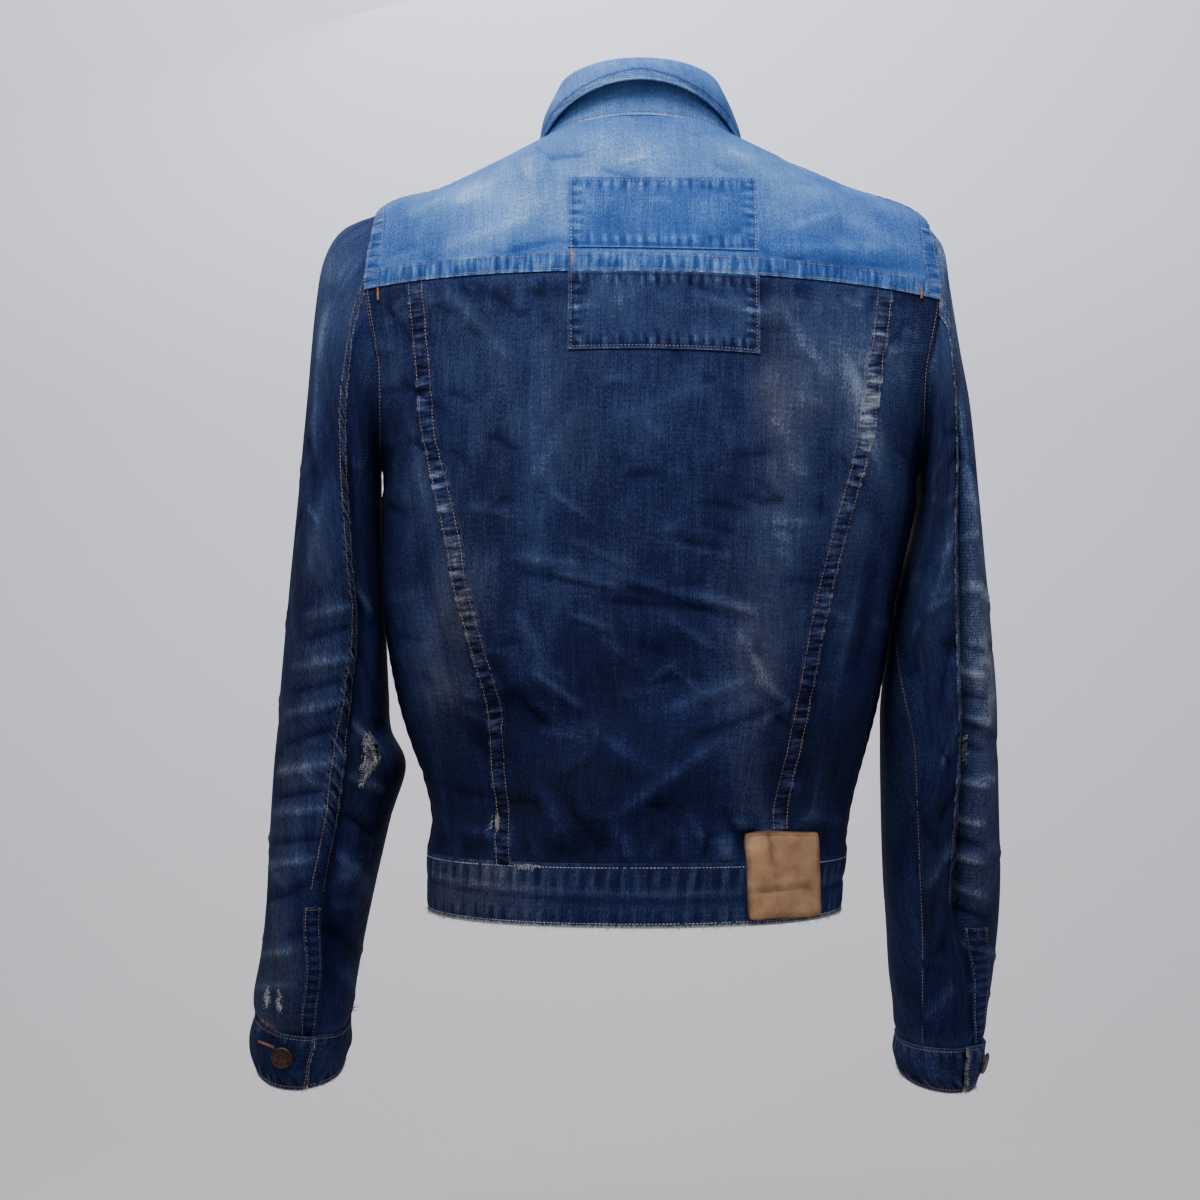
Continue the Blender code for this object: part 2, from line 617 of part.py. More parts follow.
def sleeve_levels(end):
    return [0.0, 0.5, 1.0, 1.6, 2.2, 3.0, 3.8, 4.6, 5.4, 6.2, 7.0, 7.6, 8.2, 8.7, 9.2, 9.8, 10.6, 11.4, 12.3, 13.2, end]


UNDER_SHARES = {
    1: (0.0, 0.05, 0.10, 0.16, 0.26, 0.42, 0.60, 0.80, 1.0),
    -1: (0.0, 0.09, 0.17, 0.25, 0.36, 0.50, 0.66, 0.83, 1.0),
}
UNDER_ARM_TURNS = (YOKE_TURN - 0.6, 96.0, 82.0, 62.0, 42.0, 22.0, 2.0, -13.0, ARM_TURN_FRONT_SEAM + 0.4)
UPPER_SHARES = {
    1: (0.0, 0.027, 0.054, 0.10, 0.17, 0.26, 0.36, 0.47, 0.58, 0.70, 0.84, 1.0),
    -1: (0.0, 0.03, 0.06, 0.085, 0.11, 0.20, 0.31, 0.43, 0.56, 0.69, 0.84, 1.0),
}
PLACKET_COLUMNS = {1: (0.004, 0.027, 0.054), -1: (0.06, 0.085, 0.11)}
UPPER_ARM_TURNS = (YOKE_TURN + 0.6, 119.0, 128.0, 146.0, 163.0, 180.0, 203.0, 226.0, 248.0, 270.0, 301.0, 331.6)


def sleeve_under(name, side, collection, material):
    rows = []
    for t in sleeve_levels(CUFF_SEAM - 0.02):
        row = []
        for share, turn in zip(UNDER_SHARES[side], UNDER_ARM_TURNS):
            eased = share + 0.006 * (1 - 2 * share)
            row.append(sleeve_point(side, turn, eased, t))
        rows.append(row[::-1] if side > 0 else row)
    return sheet(name, collection, material, rows, CLOTH, lambda i, j: EDGE_SHARE if i == 0 else 0.0)


def sleeve_upper(name, side, collection, material):
    rows = []
    for t in sleeve_levels(CUFF_SEAM - 0.02):
        row = []
        for share, turn in zip(UPPER_SHARES[side], UPPER_ARM_TURNS):
            eased = share + 0.003 * (1 - 2 * share)
            row.append(sleeve_point(side, turn, -eased if eased > 0 else -1e-6, t))
        rows.append(row if side > 0 else row[::-1])
    last = len(UPPER_ARM_TURNS) - 1
    levels = sleeve_levels(CUFF_SEAM - 0.02)

    def raised(i, j):
        if i == 0:
            return EDGE_SHARE
        return float((j if side > 0 else last - j) < 2 and levels[i] < PLACKET_TOP - 0.9)

    return sheet(name, collection, material, rows, CLOTH, raised)


def placket(name, side, collection, material):
    """The strip that finishes the sleeve opening, from its top end down to the cuff."""
    rows = []
    for t in (PLACKET_TOP, 11.4, 12.3, 13.2, CUFF_SEAM - 0.06):
        row = []
        for column in PLACKET_COLUMNS[side]:
            share, step = column + 0.003 * (1 - 2 * column), 0.01
            place = sleeve_point(side, 0.0, -share, t)
            across = sleeve_point(side, 0.0, -share - step, t) - sleeve_point(side, 0.0, -share + step, t)
            down = sleeve_point(side, 0.0, -share, t + step) - sleeve_point(side, 0.0, -share, t - step)
            out = across.cross(down).normalized() * side
            row.append(place + out * (CLOTH + LAID_GAP))
        rows.append(row if side > 0 else row[::-1])
    return sheet(name, collection, material, rows, PATCH_CLOTH)


def cuff(name, side, collection, material):
    """A doubled strip that laps over itself outwards of the back seam."""
    columns = 26
    rings = SLEEVE_RINGS[side]
    rows = []
    for t in (CUFF_SEAM + 0.045, CUFF_SEAM + 0.7, CUFF_SEAM + 1.35, CUFF_HEM):
        ring = [spline(column, t - 1) for column in zip(*rings)]
        back = ring[8]
        lap = math.degrees(CUFF_LAP / ring[4])
        row = []
        for j in range(columns + 1):
            turn = back + lap - (360 + lap) * j / columns
            wide = list(ring)
            extra = smooth_step(back - 360 + 2.2 * lap, back - 360 + 1.2 * lap, turn) * (DOUBLE + STACK_GAP) - CUFF_INSET
            wide[0] += extra
            wide[2] -= extra
            wide[4] += extra
            row.append(sleeve_ring_point(side, wide, turn))
        rows.append(row[::-1] if side > 0 else row)
    return sheet(name, collection, material, rows, DOUBLE)


def body_patch(name, collection, material, levels, xs, lift, thickness):
    """A piece laid on the back: rows of points taken from the body and moved out."""
    rows = []
    for level in levels:
        row = []
        for x in xs:
            ring = [spline(column, level) for column in zip(*BODY_RINGS)]
            share = (x - ring[4]) / (ring[3] - CLOTH)
            angle = math.copysign(math.atan2(abs(share), (1 - abs(share) ** ring[7]) ** (1 / ring[7])), share)
            row.append(body_point(angle, level) + body_normal(angle, level) * lift)
        rows.append(row[::-1])
    return sheet(name, collection, material, rows, thickness)


def spaced(low, high, count):
    return [low + (high - low) * i / count for i in range(count + 1)]


def button(name, collection, material, place, facing):
    """A domed shank button, turned from its profile, with its back towards the cloth."""
    radius = BUTTON_DIAMETER / 2
    profile = [(0.0, 3.2), (radius * 0.55, 3.0), (radius * 0.9, 2.2), (radius, 1.4), (radius * 0.86, 0.7)]
    profile += [(radius * 0.3, 0.7), (radius * 0.3, 0.0), (0.0, 0.0)]
    mesh = bpy.data.meshes.new(name)
    points = [(r * MM, 0.0, z * MM) for r, z in profile]
    mesh.from_pydata(points, [(i, i + 1) for i in range(len(points) - 1)], [])
    obj = bpy.data.objects.new(name, mesh)
    obj.data.materials.append(material)
    collection.objects.link(obj)
    turned = obj.modifiers.new("Turned", "SCREW")
    turned.steps = turned.render_steps = 12
    turned.use_merge_vertices = True
    turned.merge_threshold = 0.00005
    obj.location = place * MM
    obj.rotation_mode = "QUATERNION"
    obj.rotation_quaternion = facing.to_track_quat("Z", "Y")
    return obj


def cuff_button(name, side, collection, material):
    t = CUFF_SEAM + 0.85
    turn = spline([ring[8] for ring in SLEEVE_RINGS[side]], t - 1) + CUFF_BUTTON_TURN

    def at(turn, t):
        return sleeve_ring_point(side, [spline(c, t - 1) for c in zip(*SLEEVE_RINGS[side])], turn)

    facing = (at(turn + 2, t) - at(turn - 2, t)).cross(at(turn, t + 0.2) - at(turn, t - 0.2)).normalized() * side
    button(name, collection, material, at(turn, t) + facing * (2 * (DOUBLE + STACK_GAP) - CUFF_INSET), facing)


def rip(collection, sleeve):
    """A lens-shaped hole worn through the elbow of the under sleeve."""
    place = sleeve_point(1, 40.0, RIP_SHARE, RIP_LEVEL)
    along = (sleeve_point(1, 40.0, RIP_SHARE, RIP_LEVEL + 0.1) - place).normalized()
    across = (sleeve_point(1, 40.0, RIP_SHARE + 0.02, RIP_LEVEL) - place).normalized()
    out = along.cross(across).normalized()
    mesh = bpy.data.meshes.new("rip_cutter")
    lens = bmesh.new()
    bmesh.ops.create_cone(lens, cap_ends=True, segments=10, radius1=1.0, radius2=1.0, depth=1.0)
    for vert in lens.verts:
        x, y, z = vert.co
        vert.co = (place + along * (x * RIP_LENGTH / 2) + across * (y * RIP_WIDTH / 2) + out * (z * 16.0)) * MM
    lens.to_mesh(mesh)
    lens.free()
    cutter = bpy.data.objects.new("rip_cutter", mesh)
    cutter.hide_render = True
    cutter.display_type = "WIRE"
    collection.objects.link(cutter)
    cut = sleeve.modifiers.new("Rip", "BOOLEAN")
    cut.operation = "DIFFERENCE"
    cut.solver = "EXACT"
    cut.object = cutter


def front_buttons(collection, material):
    stack = CLOTH + STACK_GAP + 2.0 + STACK_GAP
    for i in range(FRONT_BUTTONS):
        level = WAIST_SEAM + 0.9 + (NECK - 1.9 - WAIST_SEAM - 0.9) * i / (FRONT_BUTTONS - 1)
        facing = body_normal(math.pi, level)
        button(f"front_button_{i + 1}", collection, material, body_point(math.pi, level) + facing * stack, facing)
    level = 0.5
    facing = body_normal(math.pi, level)
    stack = 2 * (DOUBLE + STACK_GAP) + 0.1
    button("waist_button", collection, material, body_point(math.pi, level) + facing * stack, facing)


def main():
    clear_scene()
    jacket = bpy.data.collections.new("denim_jacket")
    cutters = bpy.data.collections.new("cutters")
    cutters.hide_render = True
    bpy.context.scene.collection.children.link(jacket)
    bpy.context.scene.collection.children.link(cutters)
    denim = finish("denim", DENIM_BLUE)
    faded = finish("faded_denim", FADED_BLUE)
    leather = finish("leather", TAN_LEATHER, 0.6)
    copper = finish("aged_copper", AGED_COPPER, 0.45, 0.8)
    yoke(jacket, faded)
    back_panel(jacket, denim)
    waistband(jacket, denim)
    collar_stand(jacket, faded)
    collar_fall(jacket, faded)
    for word, side in (("left", 1), ("right", -1)):
        back_side(f"back_side_{word}", side, jacket, denim)
        front(f"front_{word}", side, jacket, denim)
        sleeve_upper(f"sleeve_upper_{word}", side, jacket, denim)
        under = sleeve_under(f"sleeve_under_{word}", side, jacket, denim)
        if side > 0:
            rip(cutters, under)
        cuff(f"cuff_{word}", side, jacket, denim)
        placket(f"placket_{word}", side, jacket, denim)
        cuff_button(f"cuff_button_{word}", side, jacket, copper)
    across = spaced(PATCH_RIGHT, PATCH_LEFT, 9)
    lift = CLOTH + LAID_GAP
    body_patch("patch_upper", jacket, faded, spaced(PATCH_FOLD_LEVEL, PATCH_TOP_LEVEL, 6), across, lift, PATCH_CLOTH)
    body_patch("patch_lower", jacket, denim, spaced(PATCH_FOOT_LEVEL, PATCH_SEAM_LEVEL, 4), across, lift, PATCH_CLOTH)
    across = spaced(LEATHER_RIGHT, LEATHER_LEFT, 4)
    lift = CLOTH + FELL_RISE + LAID_GAP
    body_patch("leather_patch", jacket, leather, spaced(LEATHER_FOOT_LEVEL, LEATHER_TOP_LEVEL, 5), across, lift, LEATHER)
    half = BAND_WIDTH / 2
    band("button_band", jacket, denim, -half, half, 0.0, CLOTH)
    band("buttonhole_band", jacket, denim, -half, half + BAND_LAP, CLOTH + STACK_GAP, 2.0)
    front_buttons(jacket, copper)


main()
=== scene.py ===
import math

import bpy
import numpy as np
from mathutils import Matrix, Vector


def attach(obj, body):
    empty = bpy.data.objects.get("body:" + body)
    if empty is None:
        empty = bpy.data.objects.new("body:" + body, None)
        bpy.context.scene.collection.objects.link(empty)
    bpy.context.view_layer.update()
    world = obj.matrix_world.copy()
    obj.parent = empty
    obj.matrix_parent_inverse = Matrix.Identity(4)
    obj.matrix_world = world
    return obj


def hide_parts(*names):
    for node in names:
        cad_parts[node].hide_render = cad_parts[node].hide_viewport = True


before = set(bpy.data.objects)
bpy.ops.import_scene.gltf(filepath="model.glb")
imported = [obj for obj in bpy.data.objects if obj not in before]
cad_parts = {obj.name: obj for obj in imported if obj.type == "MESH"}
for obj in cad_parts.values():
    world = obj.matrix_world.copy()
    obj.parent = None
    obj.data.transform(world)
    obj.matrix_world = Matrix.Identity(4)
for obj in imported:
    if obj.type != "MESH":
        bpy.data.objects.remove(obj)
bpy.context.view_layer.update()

# Camera, light and floor. The jacket is seen from behind at chest height, in soft light from above,
# in front of a plain pale sweep that runs from the floor up the wall, painted darker towards the floor as painted
# shade.
PHOTO_WIDTH = 1200
FOCAL_PIXELS = 2631.0
EYE = (0.027, 2.0, -0.342)
camera = bpy.data.objects.new("camera", bpy.data.cameras.new("camera"))
bpy.context.scene.collection.objects.link(camera)
camera.data.sensor_width = 36.0
camera.data.lens = 36.0 * FOCAL_PIXELS / PHOTO_WIDTH
camera.location = EYE
camera.rotation_euler = (math.radians(90), 0, math.radians(180))
bpy.context.scene.camera = camera

world = bpy.data.worlds.new("studio")
world.use_nodes = True
world.node_tree.nodes["Background"].inputs["Color"].default_value = (0.84, 0.88, 1.0, 1)
world.node_tree.nodes["Background"].inputs["Strength"].default_value = 0.33
bpy.context.scene.world = world


def soft_light(name, place, aim, size, watts, colour):
    lamp = bpy.data.objects.new(name, bpy.data.lights.new(name, "AREA"))
    lamp.data.shape = "DISK"
    lamp.data.size = size
    lamp.data.energy = watts
    lamp.data.color = colour
    lamp.location = place
    lamp.rotation_mode = "QUATERNION"
    lamp.rotation_quaternion = (Vector(aim) - Vector(place)).to_track_quat("-Z", "Y")
    bpy.context.scene.collection.objects.link(lamp)


soft_light("overhead_light", (0.15, 0.75, 1.25), (0, 0, -0.2), 0.7, 42, (0.95, 0.97, 1.0))
soft_light("left_light", (1.9, 0.7, 0.7), (0, 0, -0.3), 0.7, 8, (0.95, 0.97, 1.0))
soft_light("right_light", (-1.9, 0.8, 0.6), (0, 0, -0.3), 0.7, 11, (0.95, 0.97, 1.0))
soft_light("wall_light", (0.0, -0.7, 1.6), (0, -1.8, 0.5), 0.9, 34, (0.95, 0.97, 1.0))
soft_light("front_light", (0.3, -1.5, 0.9), (0, 0, -0.3), 1.0, 8, (1.0, 0.98, 0.95))

FLOOR = -0.96
sweep_path = [(4.0, FLOOR), (-0.9, FLOOR)]
sweep_path += [
    (-0.9 - 0.9 * math.sin(a), FLOOR + 0.9 - 0.9 * math.cos(a)) for a in np.linspace(0.1, math.pi / 2, 16)
]
sweep_path += [(-1.8, 5.0)]
sweep_mesh = bpy.data.meshes.new("backdrop")
sweep_mesh.from_pydata(
    [(x, y, z) for y, z in sweep_path for x in (-6.0, 6.0)],
    [],
    [(2 * i, 2 * i + 1, 2 * i + 3, 2 * i + 2) for i in range(len(sweep_path) - 1)],
)
for face in sweep_mesh.polygons:
    face.use_smooth = True
backdrop = bpy.data.objects.new("backdrop", sweep_mesh)
bpy.context.scene.collection.objects.link(backdrop)
paper = bpy.data.materials.new("backdrop_paper")
paper.use_nodes = True
where = paper.node_tree.nodes.new("ShaderNodeTexCoord")
heights = paper.node_tree.nodes.new("ShaderNodeSeparateXYZ")
rise = paper.node_tree.nodes.new("ShaderNodeMapRange")
rise.inputs["From Min"].default_value = FLOOR
rise.inputs["From Max"].default_value = 0.2
# Painted shade: the paper's colour runs from pale grey-blue at 0.2 m down to a dim grey at the floor, standing in for
# the light falling off.
painted_floor_shade = paper.node_tree.nodes.new("ShaderNodeMix")
painted_floor_shade.data_type = "RGBA"
painted_floor_shade.inputs["A"].default_value = (0.46, 0.435, 0.445, 1)
painted_floor_shade.inputs["B"].default_value = (0.82, 0.82, 0.90, 1)
paper.node_tree.links.new(where.outputs["Object"], heights.inputs["Vector"])
paper.node_tree.links.new(heights.outputs["Z"], rise.inputs["Value"])
paper.node_tree.links.new(rise.outputs["Result"], painted_floor_shade.inputs["Factor"])
paper.node_tree.links.new(
    painted_floor_shade.outputs["Result"], paper.node_tree.nodes["Principled BSDF"].inputs["Base Color"]
)
paper.node_tree.nodes["Principled BSDF"].inputs["Roughness"].default_value = 0.95
backdrop.data.materials.append(paper)

# Centre back: one tapering panel of washed blue denim from the waistband up to the yoke. Both long
# edges are felled over the side pieces and sewn with two rows of tan thread.
MM = 0.001
CLOTH = 1.4
FELL_RISE = 1.1
LAP = 1.6
TUCK = 2.6

# Rings of the body from hem to neck, in millimetres: height at the back, side and front; half width;
# shift to the left; depth to the back and front; squareness; how much higher the left side is.
BODY_RINGS = np.array(
    [
        (-577.0, -575.0, -577.0, 155.5, 1.0, 119.0, 121.0, 2.3, 0.0),
        (-532.0, -532.0, -532.0, 158.0, -1.0, 117.0, 121.0, 2.3, 0.0),
        (-494.0, -494.0, -494.0, 159.0, -4.0, 116.0, 121.0, 2.3, 0.0),
        (-418.0, -418.0, -418.0, 181.0, -2.0, 117.0, 124.0, 2.3, 0.0),
        (-340.0, -340.0, -340.0, 194.0, -2.5, 120.0, 127.0, 2.4, 0.0),
        (-266.0, -275.0, -266.0, 201.0, -9.5, 121.0, 129.0, 2.5, 0.0),
        (-222.0, -245.0, -225.0, 203.0, -11.0, 120.5, 128.0, 2.5, 1.0),
        (-165.0, -190.0, -172.0, 226.0, -11.5, 116.0, 122.0, 2.3, 3.0),
        (-104.0, -120.0, -128.0, 243.0, -12.0, 104.0, 113.0, 2.1, 4.5),
        (-72.0, -52.0, -100.0, 208.0, -12.0, 94.0, 103.0, 2.0, 3.0),
        (-34.0, -31.5, -82.0, 155.0, -8.0, 83.0, 92.0, 2.0, 0.0),
        (-4.0, -11.5, -70.0, 109.0, -5.0, 75.0, 84.0, 2.0, 0.0),
        (16.0, 5.0, -62.0, 71.0, -3.0, 67.0, 76.0, 2.0, 0.0),
    ]
)
HEM, WAIST_SEAM, ARMPIT, YOKE_SEAM, SHOULDER_TIP, NECK = 0, 1, 6, 8, 9, 12
PANEL_SEAM = {
    1: (
        101.0,
        101.5,
        102.5,
        108.5,
        108.0,
        118.0,
        128.5,
        136.0,
        143.0,
        148.0,
        153.0,
        157.0,
        160.0,
        163.5,
        167.0
    ),
    -1: (
        105.5,
        107.0,
        108.5,
        115.5,
        124.0,
        131.0,
        138.5,
        148.0,
        157.0,
        163.0,
        166.5,
        172.0,
        177.0,
        182.0,
        186.0
    ),
}
# Folds of the back: ends (x, z), width and height of each ridge; a trough has a minus height.
BACK_FOLDS = [
    (-120.0, -205.0, -70.0, -470.0, 26.0, 3.5),
    (-95.0, -170.0, -45.0, -330.0, 18.0, -3.0),
    (-65.0, -445.0, 55.0, -505.0, 24.0, 4.5),
    (-20.0, -400.0, 95.0, -455.0, 26.0, -4.0),
    (118.0, -330.0, 92.0, -400.0, 16.0, 4.5),
    (135.0, -420.0, 118.0, -512.0, 14.0, 4.0),
    (112.0, -440.0, 104.0, -500.0, 12.0, -4.0),
    (-110.0, -470.0, -75.0, -520.0, 12.0, -3.0),
    (110.0, -150.0, 60.0, -250.0, 24.0, -2.5),
]
# Smaller creases that only the cloth carries.
BACK_CREASES = [
    (92.0, -312.0, 36.0, -318.0, 4.5, 1.3),
    (88.0, -322.0, 26.0, -332.0, 5.0, -1.2),
    (38.0, -318.0, -52.0, -344.0, 5.0, 1.1),
    (26.0, -328.0, -70.0, -356.0, 5.5, -1.4),
    (-6.0, -298.0, -75.0, -314.0, 4.5, 1.0),
    (52.0, -298.0, -5.0, -322.0, 4.5, 1.0),
    (64.0, -322.0, 4.0, -334.0, 3.6, 1.7),
    (30.0, -342.0, -60.0, -352.0, 4.0, -1.8),
    (-38.0, -338.0, -88.0, -352.0, 3.6, 2.0),
    (78.0, -392.0, 34.0, -424.0, 4.0, 2.0),
    (92.0, -404.0, 60.0, -438.0, 4.4, -1.6),
    (-84.0, -398.0, -112.0, -420.0, 4.0, 2.2),
    (-70.0, -360.0, -96.0, -408.0, 4.4, 1.8),
    (-94.0, -420.0, -120.0, -446.0, 4.4, -1.6),
    (20.0, -500.0, -64.0, -440.0, 6.5, 2.4),
    (-66.0, -500.0, -104.0, -516.0, 3.6, 2.2),
    (-60.0, -512.0, -62.0, -530.0, 3.4, 1.6),
    (-50.0, -510.0, -48.0, -530.0, 3.4, -1.4),
    (-15.0, -352.0, -62.0, -382.0, 5.0, 1.2),
    (90.0, -345.0, 62.0, -398.0, 6.0, 1.3),
    (108.0, -380.0, 84.0, -425.0, 5.0, -1.3),
    (-14.0, -424.0, -84.0, -398.0, 7.0, 1.7),
    (-30.0, -446.0, -100.0, -420.0, 6.0, -1.5),
    (40.0, -430.0, -20.0, -470.0, 7.0, 1.4),
    (75.0, -470.0, 42.0, -528.0, 7.0, 1.6),
    (56.0, -480.0, 22.0, -528.0, 6.0, -1.3),
    (20.0, -500.0, 4.0, -530.0, 6.0, 1.2),
    (-35.0, -490.0, -52.0, -530.0, 6.0, 1.3),
    (-60.0, -490.0, -78.0, -530.0, 5.0, -1.2),
    (-84.0, -470.0, -96.0, -528.0, 5.0, 1.1),
    (150.0, -240.0, 128.0, -330.0, 7.0, 1.8),
    (160.0, -300.0, 135.0, -400.0, 7.0, -1.6),
    (168.0, -200.0, 150.0, -290.0, 6.0, 1.4),
    (-150.0, -160.0, -178.0, -250.0, 8.0, 1.8),
    (-160.0, -330.0, -140.0, -430.0, 7.0, 1.8),
    (-175.0, -300.0, -158.0, -400.0, 6.0, -1.6),
    (-138.0, -450.0, -122.0, -525.0, 6.0, 1.6),
    (146.0, -450.0, 138.0, -525.0, 6.0, 1.5),
    (185.0, -125.0, 160.0, -160.0, 5.0, -1.6),
    (-200.0, -135.0, -170.0, -175.0, 5.0, -1.6),
    (140.0, -115.0, 90.0, -172.0, 7.0, 1.5),
    (120.0, -112.0, 78.0, -140.0, 6.0, -1.2),
    (-95.0, -120.0, -140.0, -185.0, 8.0, 1.5),
    (-60.0, -185.0, 20.0, -215.0, 9.0, 1.1),
    (40.0, -200.0, 80.0, -265.0, 8.0, 1.1),
]


def smooth(low, high, value):
    t = np.clip((value - low) / (high - low), 0, 1)
    return t * t * (3 - 2 * t)


def along_keys(keys, t):
    """The keys read at positions t on a smooth curve through them. Keys may differ from point to point."""
    keys, t = np.asarray(keys, float), np.clip(np.asarray(t, float), 0, len(keys) - 1)
    i = np.minimum(t.astype(int), len(keys) - 2)
    f = t - i

    def key(k):
        k = np.clip(k, 0, len(keys) - 1)
        if keys.ndim <= 2:
            return keys[k]
        return np.take_along_axis(keys, k[None, ..., None], axis=0)[0]

    a, b, c, d = key(i - 1), key(i), key(i + 1), key(i + 2)
    if b.ndim > f.ndim:
        f = f[..., None]
    return 0.5 * (2 * b + (c - a) * f + (2 * a - 5 * b + 4 * c - d) * f**2 + (3 * b - a - 3 * c + d) * f**3)


def ridge_heights(u, v, ridges, tapered=True):
    """Sum of ridges and troughs at places (u, v), in millimetres: soft folds, or crisp tapered creases."""
    lift = np.zeros(np.shape(u))
    for u0, v0, u1, v1, width, height in ridges:
        du, dv = u1 - u0, v1 - v0
        along = np.clip(((u - u0) * du + (v - v0) * dv) / (du * du + dv * dv), 0, 1)
        away = np.hypot(u - u0 - along * du, v - v0 - along * dv)
        if tapered:
            ends = smooth(0, 0.3, along + 0.05) * smooth(0, 0.3, 1.05 - along)
            lift += height * ends * np.exp(-(np.sqrt(away**2 + 1.2) - 1.1) / (0.62 * width))
        else:
            lift += height * np.exp(-((away / width) ** 2))
    return lift


def small_creases(count, across, upwards, lean, seed, height=(0.5, 1.4)):
    """Short creases strewn over a cloth, most of them leaning the same way."""
    rng = np.random.default_rng(seed)
    found = []
    for _ in range(count):
        u, v = rng.uniform(*across), rng.uniform(*upwards)
        turn = math.radians(lean + rng.normal(0, 22))
        half = rng.uniform(7, 24)
        du, dv = half * math.cos(turn), half * math.sin(turn)
        found.append(
            (
                u - du,
                v - dv,
                u + du,
                v + dv,
                rng.uniform(2.6, 5.0),
                rng.choice((-1, 1)) * rng.uniform(*height)
            )
        )
    return found


def oval(ring, angle):
    back_z, side_z, front_z, half, shift, back, front, square, tilt = np.moveaxis(ring, -1, 0)
    s, c = np.sin(angle), np.cos(angle)
    full = (np.abs(s) ** square + np.abs(c) ** square) ** (-1 / square)
    z = side_z + (np.where(c >= 0, back_z, front_z) - side_z) * np.abs(c) ** 1.5 + tilt * s
    return (
        np.stack(
            [shift + (half - CLOTH) * full * s, (np.where(c >= 0, back, front) - CLOTH) * full * c, z], -1
        )
        * MM
    )


def body_form(angle, level):
    """Points on the inside of the body cloth. The angle is 0 at the back and 90 degrees at the left."""
    angle, level = np.broadcast_arrays(np.asarray(angle, float), np.asarray(level, float))
    place = oval(along_keys(BODY_RINGS, level), angle)
    c = np.cos(angle)
    calm = (
        smooth(0, 0.35, c) * smooth(WAIST_SEAM, WAIST_SEAM + 0.6, level)
        * (1 - smooth(7.2, YOKE_SEAM, level))
    )
    lift = ridge_heights(place[..., 0] / MM, place[..., 2] / MM, BACK_FOLDS, False) * calm * MM
    aim = np.stack([np.sin(angle) * 0.6, c, np.zeros_like(c)], -1)
    return place + aim * (lift / np.maximum(np.linalg.norm(aim, axis=-1), 1e-9))[..., None]


def body_facing(angle, level):
    low, high = np.maximum(level - 0.01, HEM), np.minimum(level + 0.01, NECK)
    up = body_form(angle, high) - body_form(angle, low)
    n = np.cross(up, body_form(angle + 0.01, level) - body_form(angle - 0.01, level))
    return n / np.linalg.norm(n, axis=-1, keepdims=True)


def turned(angle, level, distance):
    """The angle that lies a distance in millimetres further round the body."""
    step = body_form(angle + 0.002, level) - body_form(angle, level)
    return angle + distance * MM * 0.002 / np.linalg.norm(step, axis=-1)


def seam_angle(side, level):
    away = along_keys(PANEL_SEAM[side], (np.asarray(level, float) - WAIST_SEAM) * 2)
    ring = along_keys(BODY_RINGS, level)
    half, shift, square = ring[..., 3] - CLOTH, ring[..., 4], ring[..., 7]
    share = (away - side * shift) / half
    return side * np.arctan2(share, (1 - share**square) ** (1 / square))


def lengths_of(points, axis):
    steps = np.linalg.norm(np.diff(points, axis=axis), axis=-1)
    return np.concatenate([np.zeros_like(np.take(steps, [0], axis)), np.cumsum(steps, axis=axis)], axis)


FELL_PLACES = np.array([0, 0.8, 2.6, 5.0, 7.5, 10.0, 12.4, 13.8, 15.4]) * MM


def places_along(total, count, felled_first, felled_last):
    first = FELL_PLACES if felled_first else FELL_PLACES[:1]
    last = total - FELL_PLACES[::-1] if felled_last else np.array([total])
    return np.concatenate(
        [first, np.linspace(first[-1], last[0], count - len(first) - len(last) + 2)[1:-1], last]
    )


def lay(form, low, high, felled="", step=3.7, row_step=2.8):
    """A grid of points on form(share, row), at even distances, with closer ones in felled edges."""
    share, row = np.meshgrid(np.linspace(0, 1, 61), np.linspace(low, high, 201))
    across = lengths_of(form(share, row), 1)
    first, last = "start" in felled, "end" in felled
    count = int(across[:, -1].max() / MM / step) + 2 + 7 * first + 7 * last
    shares = np.array(
        [np.interp(places_along(line[-1], count, first, last), line, share[0]) for line in across]
    )
    row = np.repeat(row[:, :1], count, axis=1)
    down = lengths_of(form(shares, row), 0)
    first, last = "low" in felled, "high" in felled
    rows = int(down[-1].max() / MM / row_step) + 2 + 6 * first + 6 * last
    goals = np.array([places_along(total, rows, first, last) for total in down[-1]])
    new_row = np.array([np.interp(goals[j], down[:, j], row[:, j]) for j in range(count)]).T
    new_share = np.array([np.interp(goals[j], down[:, j], shares[:, j]) for j in range(count)]).T
    return form(new_share, new_row), new_share, new_row


def facing_of(points, outwards):
    n = np.cross(np.gradient(points, axis=0), np.gradient(points, axis=1)) * outwards
    return n / np.maximum(np.linalg.norm(n, axis=-1, keepdims=True), 1e-12)


def away_from(points, edge):
    axis = 1 if edge in ("start", "end") else 0
    away = lengths_of(points, axis)
    return np.take(away, [-1], axis) - away if edge in ("end", "high") else away


